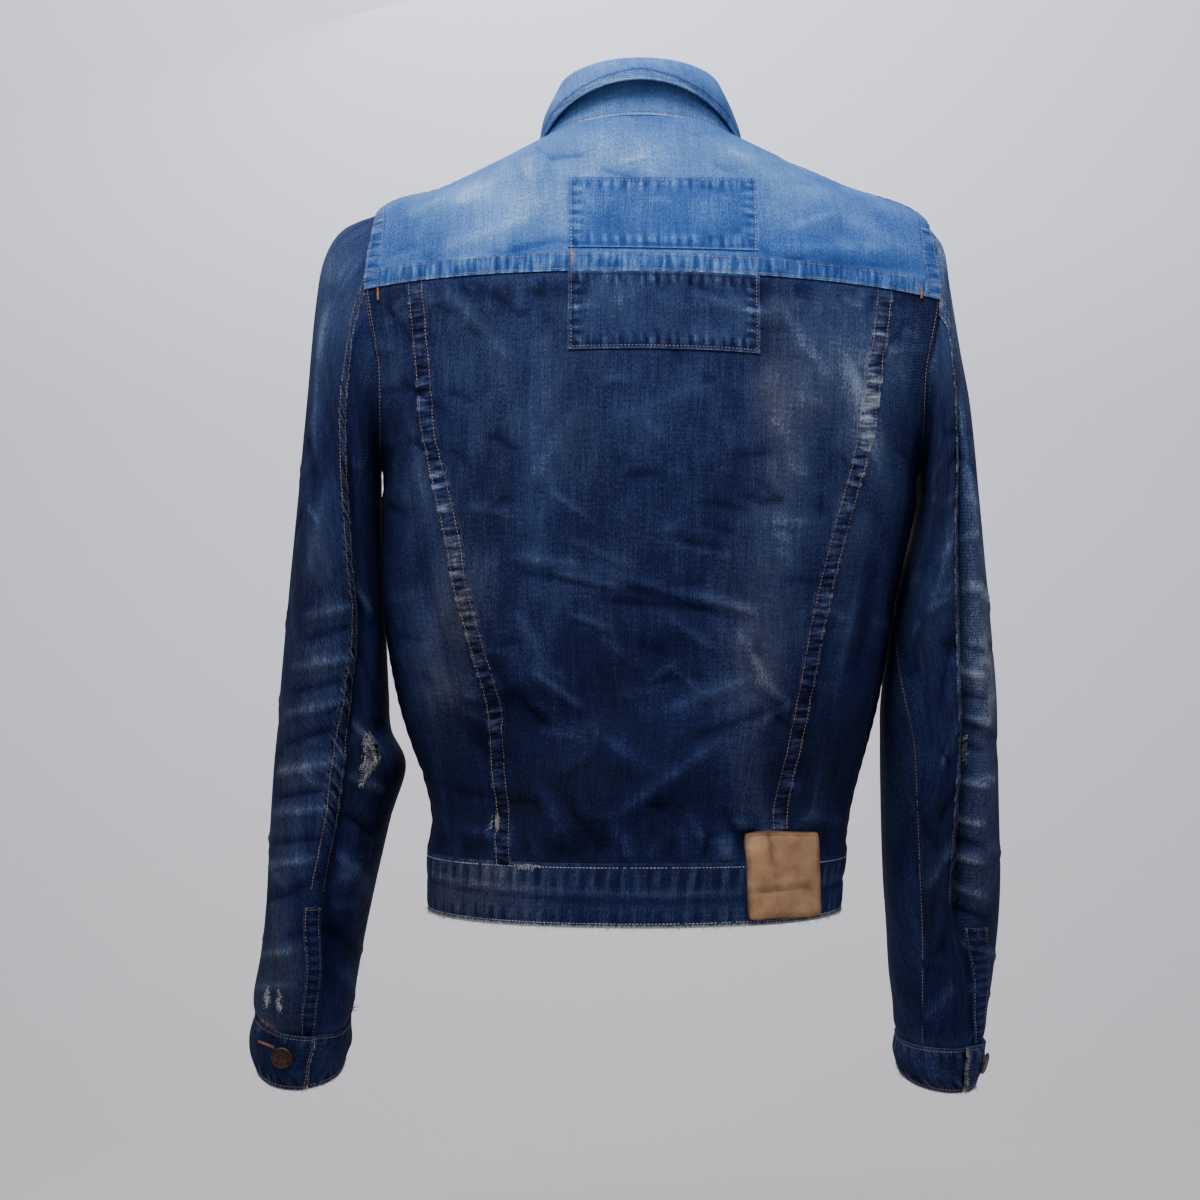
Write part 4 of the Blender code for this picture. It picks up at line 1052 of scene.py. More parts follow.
for word, low, high, tones, base in (
    ("upper", 8.44, 10.0, LIGHT_TONES, 0.34), ("lower", 7.05, 7.97, DARK_TONES, 0.42)
):
    finish = denim(f"denim_patch_{word}", tones, seed=31.0 + low, grime=0.2)

    def patch_form(share, level):
        return place_behind(PATCH_RIGHT + (PATCH_LEFT - PATCH_RIGHT) * share, level, CLOTH + 0.1)

    points, share, level = lay(patch_form, low, high, "", 3.0, 2.4)
    wall, wear, near, seam = edged(points, 12)
    below = YOKE_CREASES if word == "upper" else BACK_CREASES
    points = creased(points, below)
    points = creased(
        points,
        [
            (48.0, -135.0, 10.0, -128.0, 5.0, 1.2),
            (30.0, -150.0, -10.0, -150.0, 6.0, 0.7),
            (-20.0, -135.0, -80.0, -130.0, 6.0, 0.9)
        ]
    )
    spots = [
        (-20, -20, 60, 16, 0.10),
        (-30, -60, 40, 16, 0.06),
        (30, -132, 40, 8, 0.12),
        (-60, -130, 20, 20, 0.06)
    ]
    piece = cloth(
        f"patch_piece_{word}",
        points,
        wall,
        finish,
        marks={
            "fade": soft_spots(points, base, spots) + crest_wear(points, below) + 0.28 * wear,
            "raised": 0.5 * np.exp(-(((near - 5.5) / 4) ** 2)),
            "seam": seam
        }
    )
    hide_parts(f"patch_{word}")
    edges = [("start", 0, 1), ("end", 0, 1), ("high" if word == "upper" else "low", 0, 1)]
    stitching = sewn(
        f"patch_stitching_{word}",
        [seam_line(piece, e, 2.4, a, b) for e, a, b in edges],
        GREY_THREAD if word == "upper" else TAN_THREAD,
        pitch=2.7,
        length=2.0,
        seed=6
    )

crossing = [path_on(yoke, [(x, -86), (x, -104)]) for x in (PATCH_LEFT - 2.4, PATCH_RIGHT + 2.4)]
sewn("patch_crossing_stitches", crossing, TAN_THREAD, pitch=2.7, length=2.0)
tacks = across_line(yoke, [(48, -76), (47.5, -101)], 2.4)
tacks += (
    across_line(yoke, [(191, -112), (190.5, -121)], 2.2)
    + across_line(yoke, [(-210, -111), (-209.5, -120)], 2.2)
)
sewn("yoke_bar_tacks", tacks, ORANGE_THREAD, pitch=9, length=2.6, radius=0.33, skip=0)

# Fronts: one plain piece on each side, from the side seam to the band at the centre front and up to
# the shoulder seam. They are hidden in the photo, so they carry only side seams and soft folds.
FRONT_TURNS = [360.0, 338.0, 315.0, 292.0, 270.0, 248.0, 226.0, 203.0, 180.0]
BAND_WIDTH = 38.0
FRONT_FOLDS = [
    (150.0, -260.0, 60.0, -360.0, 22.0, 3.0),
    (140.0, -330.0, 60.0, -430.0, 18.0, -2.5),
    (150.0, -430.0, 70.0, -490.0, 20.0, 3.0),
    (90.0, -180.0, 60.0, -300.0, 22.0, -2.0),
    (120.0, -440.0, 100.0, -525.0, 12.0, 2.0),
    (160.0, -170.0, 100.0, -220.0, 16.0, 2.0),
]
denim_front = denim("denim_fronts", DARK_TONES, seed=41.0)


def front_centre(row):
    """The level at the centre front of each row of a front."""
    return np.interp(row, [0, 16, 23, 30], [WAIST_SEAM, ARMPIT, 8.8, NECK])


def band_angle(level, distance):
    return turned(math.pi + 0 * level, level, -distance)


for word, side in (("left", 1), ("right", -1)):

    def front_form(share, row, side=side):
        turn = np.interp(row, np.arange(16, 25), FRONT_TURNS)
        outer, outer_level = armhole_angle(1, turn)
        outer = np.where((row < 16) | (row > 24), math.pi / 2, outer)
        outer_level = np.where(row < 16, WAIST_SEAM + 5 * row / 16, outer_level)
        outer_level = np.where(row > 24, SHOULDER_TIP + 3 * (row - 24) / 6, outer_level)
        seam = 1 - smooth(15.3, 16.2, row) + smooth(24, 24.6, row)
        outer = turned(outer, outer_level, 0.4 - TUCK * seam)
        level = front_centre(row)
        inner = band_angle(level, BAND_WIDTH / 2 - TUCK)
        t = 1 - share if side < 0 else share
        across = outer + (inner - outer) * t
        return body_form(side * across, outer_level + (level - outer_level) * (1 - (1 - t) ** 1.6))

    points, _, row = lay(front_form, -0.15, 30.0, "", 6.5, 5.0)
    points = creased(points, FRONT_FOLDS, 1, side * points[..., 0] / MM)
    tone = soft_spots(
        points,
        0.34,
        [
            (side * 110, -110, 60, 50, 0.20),
            (side * 100, -320, 30, 90, 0.16),
            (side * 100, -500, 90, 60, -0.10)
        ]
    )
    piece = cloth(f"front_piece_{word}", points, CLOTH * MM, denim_front, marks={"fade": tone})
    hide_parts(f"front_{word}")
    edge = "start" if side > 0 else "end"
    stitching = sewn(
        f"front_stitching_{word}", [seam_line(piece, edge, 4.6, 0.53, 0.85)], TAN_THREAD, seed=8
    )

# Front bands: the button band below and the doubled buttonhole band over it, both straight strips
# from the waistband to the neck, sewn along each edge with one row of thread.
BAND_LAP = 8.0
for word, low, high, lift, base in (
    ("button_band", -BAND_WIDTH / 2, BAND_WIDTH / 2, 0.0, CLOTH),
    ("buttonhole_band", -BAND_WIDTH / 2, BAND_WIDTH / 2 + BAND_LAP, CLOTH + 0.5, 2.0),
):

    def band_form(share, row, low=low, high=high, lift=lift):
        level = front_centre(row)
        angle = band_angle(level, high + (low - high) * share)
        return body_form(angle, level) + body_facing(angle, level) * (lift * MM)

    points, share, row = lay(band_form, 0.0, 30.0, "", 2.6, 3.0)
    wall, wear, near, seam = edged(points, 14, 0.25, base)
    piece = cloth(
        f"{word}_piece", points, wall, denim_front, marks={"fade": soft_spots(points, 0.36, []) + 0.24 * wear}
    )
    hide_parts(word)
    stitching = sewn(
        f"{word}_stitching",
        [seam_line(piece, e, 2.4) for e in ("start", "end")],
        TAN_THREAD,
        seed=9
    )

# Waistband: one long doubled strip round the hem that laps over itself at the centre front. Its
# lower edge is frayed white and a crease runs along its middle.
DOUBLE = 2.4
WAIST_LAP = 19.0
denim_waist = denim("denim_waistband", DARK_TONES, seed=53.0, grime=0.8)
lap_turn = float(turned(math.pi, 0.0, WAIST_LAP)) - math.pi


def waist_form(share, level):
    angle = (math.pi + lap_turn) * (2 * share - 1)
    over = smooth(math.pi - 3.2 * lap_turn, math.pi - 1.3 * lap_turn, angle) * (DOUBLE + 0.5)
    return body_form(angle, level) + body_facing(angle, level) * (over * MM)[..., None]


points, share, level = lay(waist_form, HEM, WAIST_SEAM + 0.03, "", 3.6, 2.2)
run = lengths_of(points, 1) / MM
tall = away_from(points, "low") / MM
ripple = 0.5 * np.sin(run / 23 + 1.3 * np.sin(run / 61)) * np.sin(tall / 48 * math.pi)
crease = -1.7 * np.exp(-(((tall - 23 - 3 * np.sin(run / 90)) / 3.2) ** 2)) * (
    0.5 + 0.5 * np.sin(run / 140 + 1)
)
beat = np.sin(run * 2 * math.pi / 12.0 + 1.5 * np.sin(run / 41))
top, foot = np.exp(-(((tall - 35) / 9) ** 2)), np.exp(-(((tall - 8) / 6) ** 2))
points = points + facing_of(points, 1) * ((ripple + crease) * MM)[..., None]
wall = (
    (
        DOUBLE + 0.4 * beat * (top + foot) - 0.35 * np.exp(-(((tall - 43.6) / 1.3) ** 2))
        - 0.35 * np.exp(-(((tall - 3.2) / 1.3) ** 2))
    )
    * MM
)
x, z = points[..., 0] / MM, points[..., 2] / MM
rubbed = (
    0.95 * (1 - smooth(1.3, 3.0, tall))
    + 0.9 * np.exp(-(((tall - 41) / 1.6) ** 2)) * np.exp(-(((x - 80) / 11) ** 2)) * (points[..., 1] > 0)
)
tone = (
    soft_spots(points, 0.31, [(105, -550, 44, 26, 0.20), (-40, -560, 60, 10, 0.06)])
    + 0.30 * np.exp(-((tall / 2.2) ** 2)) + beat * (0.16 * top + 0.09 * foot)
)
tone += (
    0.16 * np.exp(-(((tall - 46.5) / 1.2) ** 2))
    + 0.14 * np.exp(-(((tall - 28 - 3 * np.sin(run / 90)) / 2.5) ** 2))
    - 0.12 * np.exp(-(((tall - 22 - 3 * np.sin(run / 90)) / 2.0) ** 2))
)
seam = np.stack(np.broadcast_arrays(run, tall), -1) * MM
waistband = cloth(
    "waistband_piece",
    points,
    wall,
    denim_waist,
    marks={
        "fade": tone,
        "raised": 0.3 * (top + foot),
        "rubbed": rubbed,
        "seam": seam,
        "soil": soft_spots(points, 0.05, [(110, -550, 50, 30, 0.8)])
    }
)
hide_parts("waistband")
waist_rows = sewn(
    "waistband_stitching",
    [seam_line(waistband, "low", 3.2), seam_line(waistband, "high", 3.2)],
    GREY_THREAD,
    seed=10
)
frayed("hem_frays", [seam_line(waistband, "low", 0.5)], 1500, (0.8, 2.4), radius=0.2, seed=31)
frayed(
    "waistband_worn_threads",
    [path_on(waistband, [(91, -532.5), (69, -533)])],
    60,
    (0.8, 2.6),
    (0.6, 0, -0.2),
    seed=32
)

# Collar: a doubled stand sewn to the neck edge, and a doubled fall turned down over it and on to the
# fronts, with one row of pale thread along the fall's edge.
COLLAR_TOP = np.array((55.0, 45.0, -36.0, 57.0, -3.0, 61.0, 66.0, 2.2, 0.0))
COLLAR_EDGE = np.array((39.0, 7.0, -62.0, 73.0, -3.0, 74.0, 92.0, 2.0, 0.0))
COLLAR_CLOTH = 2.0
collar_end = math.pi - math.asin(1.5 / 57.0)
denim_collar = denim("denim_collar", LIGHT_TONES, streak=0.8, seed=61.0, grime=0.1)


def collar_ring(share, angle):
    ring = BODY_RINGS[NECK] + (COLLAR_TOP - BODY_RINGS[NECK]) * np.asarray(share)[..., None]
    return oval(ring, angle)


def stand_form(share, row):
    angle = collar_end * (2 * share - 1)
    return collar_ring(-0.05 + 1.02 * row, angle)


points, share, row = lay(stand_form, 0.0, 1.0, "", 3.4, 2.6)
tall = away_from(points, "low") / MM
wall = (2.6 - 0.6 * smooth(3, 8, tall) - 0.3 * np.exp(-(((tall - 2.6) / 1.2) ** 2))) * MM
stand = cloth(
    "collar_stand_piece",
    points,
    wall,
    denim_collar,
    under=1.4 * MM * (1 - smooth(2, 5, tall)),
    marks={"fade": soft_spots(points, 0.56, []) + 0.2 * np.exp(-((tall / 1.5) ** 2))}
)
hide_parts("collar_stand")
stand_rows = sewn(
    "collar_stand_stitching", [seam_line(stand, "low", 2.6)], TAN_THREAD, seed=11
)


def collar_edge(angle):
    """The free edge of the fall: clear of the back, then down to its points on the fronts."""
    turn = np.degrees(np.abs(angle))
    edge = oval(np.broadcast_to(COLLAR_EDGE, (*angle.shape, 9)), angle)
    point = smooth(95, 150, turn) * (1 - smooth(152, 178, turn))
    placed = angle + np.sign(angle) * math.radians(15.6) * point
    level = NECK - 0.25 - 2.5 * point
    clear = CLOTH + 0.9 + 3.0 * smooth(140, 158, turn)
    on_body = body_form(placed, level) + body_facing(placed, level) * (clear * MM)[..., None]
    return edge + (on_body - edge) * smooth(72, 100, turn)[..., None]


def fall_form(share, row):
    angle = collar_end * (2 * share - 1)
    top = collar_ring(np.ones_like(angle), angle)
    up = top - collar_ring(np.full_like(angle, 0.9), angle)
    up /= np.linalg.norm(up, axis=-1, keepdims=True)
    out = np.stack([np.sin(angle) * 61.0, np.cos(angle) * 57.0, 0 * angle], -1)
    out /= np.linalg.norm(out, axis=-1, keepdims=True)
    shoulder = top + out * (COLLAR_CLOTH + 1.8) * MM - up * MM
    edge = collar_edge(angle)
    keys = [top + up * 0.8 * MM, top + out * (COLLAR_CLOTH + 0.6) * MM + up * 0.8 * MM, shoulder]
    keys += [
        shoulder + (edge - shoulder) * k
        + out * (2.0 * MM * math.sin(math.pi * k)) for k in (0.25, 0.5, 0.75, 1.0)
    ]
    return along_keys(np.array(keys), row)


points, share, row = lay(fall_form, 0.0, 6.0, "", 3.2, 2.4)
run, low = lengths_of(points, 1) / MM, away_from(points, "high") / MM
beat = np.sin(run * 2 * math.pi / 9.0 + 1.5 * np.sin(run / 33))
wall = (
    (
        COLLAR_CLOTH + 0.3 * beat * np.exp(-(((low - 6) / 4) ** 2))
        - 0.45 * np.exp(-(((low - 7.5) / 1.4) ** 2)) - 0.3 * np.exp(-((low / 0.8) ** 2))
    )
    * MM
)
points = (
    points
    + facing_of(points, -1) * (0.8 * np.sin(run / 29 + 1) * smooth(0, 30, lengths_of(points, 0) / MM) * MM)[..., None]
)
tone = (
    soft_spots(points, 0.51, [(45, 30, 30, 20, 0.10), (-40, 30, 20, 20, -0.06)])
    + 0.22 * beat * np.exp(-(((low - 5) / 4) ** 2))
)
tone += (
    0.3 * np.exp(-((low / 1.5) ** 2)) - 0.25 * np.exp(-(((low - 7.5) / 1.4) ** 2))
    + 0.1 * np.exp(-(((points[..., 2] / MM - 56) / 6) ** 2))
)
fall = cloth(
    "collar_fall_piece",
    points,
    wall,
    denim_collar,
    outwards=-1,
    marks={
        "fade": tone,
        "raised": 0.5 * np.exp(-(((low - 5) / 5) ** 2)),
        "seam": np.stack(np.broadcast_arrays(run, low), -1) * MM
    }
)
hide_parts("collar_fall")
fall_rows = sewn(
    "collar_fall_stitching", [seam_line(fall, "high", 7.5)], TAN_THREAD, seed=13
)

# Sleeves: an upper and an under piece on each side, hanging empty with a long soft fold beside the
# back seam. The upper's edge is felled over the under sleeve, and both are tucked into the armhole.
# Rings down each sleeve: outer point (x, z), inner point (x, z), half depth, middle in y, droop at
# the back, depth of the fold, and turn of the back seam and front seam in degrees from the back.
SLEEVE_RINGS = {
    1: np.array(
        [
            (219.0, -60.0, 195.0, -247.0, 62.0, 0.0, 0.0, 0.0, 9.0, -118.0),
            (234.0, -82.0, 195.0, -257.0, 65.0, 0.0, 0.0, 2.0, -4.0, -114.0),
            (241.0, -120.0, 195.0, -272.0, 68.0, -1.0, 0.0, 6.0, -5.0, -110.0),
            (247.0, -182.0, 194.5, -300.0, 70.0, -3.0, 0.0, 10.0, -11.0, -106.0),
            (254.0, -252.0, 193.5, -335.0, 70.0, -5.0, 0.0, 12.0, -22.0, -102.0),
            (262.0, -325.0, 191.0, -375.0, 68.0, -9.0, 0.0, 14.0, -30.0, -100.0),
            (269.0, -395.0, 189.0, -415.0, 66.0, -12.0, 0.0, 14.0, -24.0, -98.0),
            (273.0, -440.0, 187.0, -442.0, 62.0, -14.0, 0.0, 12.0, -17.0, -96.0),
            (276.0, -470.0, 176.0, -469.0, 58.0, -15.0, 0.0, 10.0, -6.0, -96.0),
            (279.0, -512.0, 188.0, -510.0, 56.0, -18.0, 0.0, 11.0, -9.0, -96.0),
            (283.0, -572.0, 203.0, -574.0, 55.0, -26.0, 2.0, 12.0, -7.0, -96.0),
            (288.0, -612.0, 212.0, -618.0, 51.0, -32.0, 5.0, 10.0, -18.0, -96.0),
            (294.0, -642.0, 217.0, -648.0, 48.0, -36.0, 8.0, 7.0, -20.0, -96.0),
            (294.5, -660.0, 219.5, -669.0, 45.0, -39.0, 10.0, 4.0, -20.0, -96.0),
            (297.5, -678.0, 220.5, -682.0, 44.0, -41.0, 12.0, 2.0, -17.0, -96.0),
            (294.0, -698.0, 224.0, -699.0, 42.0, -43.0, 16.0, 0.0, -14.0, -96.0),
        ]
    ),
    -1: np.array(
        [
            (230.0, -72.0, 217.5, -249.0, 60.0, -0.5, 0.0, 0.0, 20.0, -118.0),
            (234.5, -100.0, 217.0, -260.0, 65.0, 0.0, 0.0, 3.0, 25.0, -110.0),
            (242.0, -145.0, 215.5, -276.0, 68.0, -1.0, 0.0, 8.0, 20.0, -102.0),
            (251.0, -192.0, 211.5, -300.0, 71.0, -3.0, 0.0, 12.0, 10.0, -95.0),
            (259.0, -262.0, 201.0, -335.0, 72.0, -5.0, 0.0, 16.0, 8.0, -84.0),
            (267.0, -335.0, 193.5, -375.0, 69.0, -9.0, 0.0, 18.0, 10.0, -66.0),
            (274.0, -405.0, 188.5, -418.0, 66.0, -12.0, 0.0, 20.0, 11.0, -44.0),
            (276.0, -445.0, 188.0, -450.0, 62.0, -15.0, 0.0, 20.0, 12.0, -33.0),
            (278.0, -500.0, 189.0, -500.0, 58.0, -20.0, 0.0, 20.0, 7.0, -30.0),
            (280.0, -550.0, 191.0, -552.0, 55.0, -25.0, 0.0, 18.0, 0.0, -29.0),
            (279.0, -590.0, 194.0, -590.0, 52.0, -30.0, 1.0, 13.0, 3.0, -28.0),
            (276.0, -625.0, 196.5, -628.0, 49.0, -34.0, 2.0, 9.0, 16.0, -28.0),
            (272.0, -655.0, 200.0, -655.0, 47.0, -37.0, 3.0, 6.0, 20.0, -29.0),
            (270.0, -682.0, 201.0, -680.0, 44.0, -40.0, 4.0, 3.0, 27.0, -30.0),
            (267.5, -695.0, 199.0, -691.0, 43.0, -41.0, 7.0, 2.0, 31.0, -30.0),
            (262.0, -712.0, 203.0, -703.0, 41.0, -43.0, 9.0, 0.0, 34.0, -30.0),
        ]
    ),
}
CUFF_SEAM, CUFF_HEM = 14, 16
# Distances between the columns and rows of each sleeve piece, closer where the rip is.
SLEEVE_STEPS = {
    ("upper", 1): (4.0, 2.0),
    ("upper", -1): (4.0, 2.0),
    ("under", 1): (2.2, 2.4),
    ("under", -1): (3.2, 3.0),
}
SLEEVE_SQUARE = 2.3
FOLD_FROM_SEAM = {1: -10.0, -1: 10.0}
UPPER_SHARES = {
    1: (0.0, 0.027, 0.054, 0.10, 0.17, 0.26, 0.36, 0.47, 0.58, 0.70, 0.84, 1.0),
    -1: (0.0, 0.03, 0.06, 0.085, 0.11, 0.20, 0.31, 0.43, 0.56, 0.69, 0.84, 1.0),
}
UPPER_TURNS = (YOKE_TURN + 0.6, 119.0, 128.0, 146.0, 163.0, 180.0, 203.0, 226.0, 248.0, 270.0, 301.0, 331.6)
UNDER_SHARES = {
    1: (0.0, 0.05, 0.10, 0.16, 0.26, 0.42, 0.60, 0.80, 1.0),
    -1: (0.0, 0.09, 0.17, 0.25, 0.36, 0.50, 0.66, 0.83, 1.0),
}
UNDER_TURNS = (YOKE_TURN - 0.6, 96.0, 82.0, 62.0, 42.0, 22.0, 2.0, -13.0, -27.6)


def sleeve_ring_point(side, ring, turn):
    out_x, out_z, in_x, in_z, depth, middle, droop, fold, seam, _ = np.moveaxis(
        np.asarray(ring, float), -1, 0
    )
    t = np.radians(turn)
    cross_x, cross_z = (out_x - in_x) / 2, (out_z - in_z) / 2
    length = np.hypot(cross_x, cross_z)
    cross_x, cross_z = cross_x * (1 - CLOTH / length), cross_z * (1 - CLOTH / length)
    nearest = (turn - (seam + FOLD_FROM_SEAM[side]) + 180) % 360 - 180
    kept = 1 - fold / depth * np.exp(-((nearest / 11.0) ** 2))
    s, c = np.sin(t), np.cos(t)
    full = (np.abs(s) ** SLEEVE_SQUARE + np.abs(c) ** SLEEVE_SQUARE) ** (-1 / SLEEVE_SQUARE) * kept
    x, z = (out_x + in_x) / 2 + cross_x * s * full, (out_z + in_z) / 2 + cross_z * s * full - droop * c
    return np.stack([side * x, middle + (depth - CLOTH) * c * full, z], -1) * MM


def armhole_start(side, turn):
    angle, level = armhole_angle(side, turn)
    place = body_form(angle, level)
    low = (1 + np.cos(np.radians(turn))) / 2
    inwards = body_form(
        angle + (side * math.pi / 2 - angle) * 0.1, level + (ARMHOLE_MID - level) * 0.1
    ) - place
    inwards /= np.linalg.norm(inwards, axis=-1, keepdims=True)
    behind = smooth(75, 95, turn) * (1 - smooth(140, 165, turn))
    gap = 1.1 + {1: 0.6, -1: 3.9}[side] * behind + 3.0 * low**3
    tucked = place - inwards * 4.5 * MM - body_facing(angle, level) * 1.9 * MM
    return place + inwards * (gap * MM)[..., None], tucked


def sleeve_form(side, part, share, t):
    """Points on the inside of a sleeve piece. Below t = 0 the cloth runs in under the body."""
    share, t = np.broadcast_arrays(np.asarray(share, float), np.asarray(t, float))
    if part == "upper":
        arm_turn = np.interp(share, UPPER_SHARES[side], UPPER_TURNS)
    else:
        arm_turn = np.interp(share, UNDER_SHARES[side], UNDER_TURNS)
    start, tucked = armhole_start(side, arm_turn)
    keys = [start]
    for ring in SLEEVE_RINGS[side]:
        back, front = ring[8], ring[9]
        turn = back + (front + 360 - back) * share if part == "upper" else back + (front - back) * share
        keys.append(sleeve_ring_point(side, ring, turn))
    place = along_keys(np.array(keys), np.maximum(t, 0))
    under = np.clip(-t / 0.25, 0, 1)[..., None]
    return place + (tucked - place) * under


SLEEVE_CREASES = {
    ("upper", 1): [
        (4, -345, 62, -356, 5, 1.7),
        (6, -360, 60, -374, 5, -1.4),
        (4, -384, 66, -394, 5, 1.8),
        (6, -400, 58, -412, 5, -1.5),
        (3, -416, 66, -430, 5, 2.0),
        (8, -436, 60, -452, 5, -1.6),
        (4, -462, 70, -474, 5.5, 2.2),
        (6, -482, 62, -492, 5, -1.6),
        (4, -497, 70, -504, 5, 1.8),
        (8, -520, 60, -526, 5, -1.4),
        (5, -534, 70, -546, 5.5, 1.8),
        (14, -560, 70, -574, 5, -1.2),
        (16, -604, 70, -616, 5.5, 1.5),
        (20, -632, 66, -640, 5, 1.3),
        (30, -250, 60, -330, 10, 1.6),
        (60, -120, 50, -240, 12, 1.8),
        (130, -400, 190, -470, 8, 2.2),
        (120, -440, 190, -500, 8, -2.0),
        (130, -490, 200, -540, 8, 2.0),
        (110, -200, 180, -300, 14, 2.0),
    ],
    ("under", 1): [
        (6, -300, 50, -360, 8, 1.5),
        (10, -360, 60, -430, 9, -1.6),
        (14, -430, 56, -458, 6, 2.0),
        (12, -474, 58, -486, 6, 1.8),
        (10, -500, 52, -522, 6, -1.6),
        (10, -530, 56, -560, 8, 1.8),
        (12, -580, 50, -620, 8, -1.4),
        (20, -620, 60, -655, 8, 1.3),
    ],
    ("upper", -1): [
        (8, -392, 44, -400, 5, 1.7),
        (10, -412, 44, -416, 5, -1.4),
        (6, -427, 46, -434, 5, 1.8),
        (8, -448, 44, -456, 5, -1.5),
        (6, -475, 46, -482, 5, 2.0),
        (6, -504, 44, -512, 5, 1.8),
        (8, -520, 44, -528, 5, -1.4),
        (6, -533, 46, -540, 5, 1.8),
        (8, -556, 44, -566, 5, 1.6),
        (6, -572, 46, -584, 5, -1.4),
        (8, -600, 44, -612, 5.5, 1.6),
        (8, -636, 44, -646, 5.5, 1.3),
        (20, -180, 40, -300, 12, 1.8),
        (90, -400, 150, -470, 8, 2.2),
        (90, -440, 150, -500, 8, -2.0),
        (100, -490, 170, -540, 8, 2.0),
        (80, -200, 150, -300, 14, 2.0),
    ],
    ("under", -1): [
        (8, -280, 50, -360, 9, 1.6),
        (12, -360, 50, -430, 8, -1.6),
        (10, -430, 46, -470, 7, 1.8),
        (8, -480, 40, -510, 7, -1.6),
        (8, -520, 40, -560, 7, 1.6),
        (8, -590, 36, -630, 7, -1.3),
        (8, -630, 34, -665, 7, 1.3),
    ],
}
for (part, side), creases in SLEEVE_CREASES.items():
    creases[:] = [(*ends, width * (0.6 if width < 7 else 0.9), height) for *ends, width, height in creases]
    creases += small_creases(
        60 if part == "upper" else 26,
        (8, 190 if part == "upper" else 90),
        (-650, -200),
        -6,
        40 + side + len(part)
    )
denim_sleeve = denim("denim_sleeves", DARK_TONES, seed=71.0, grime=0.8)
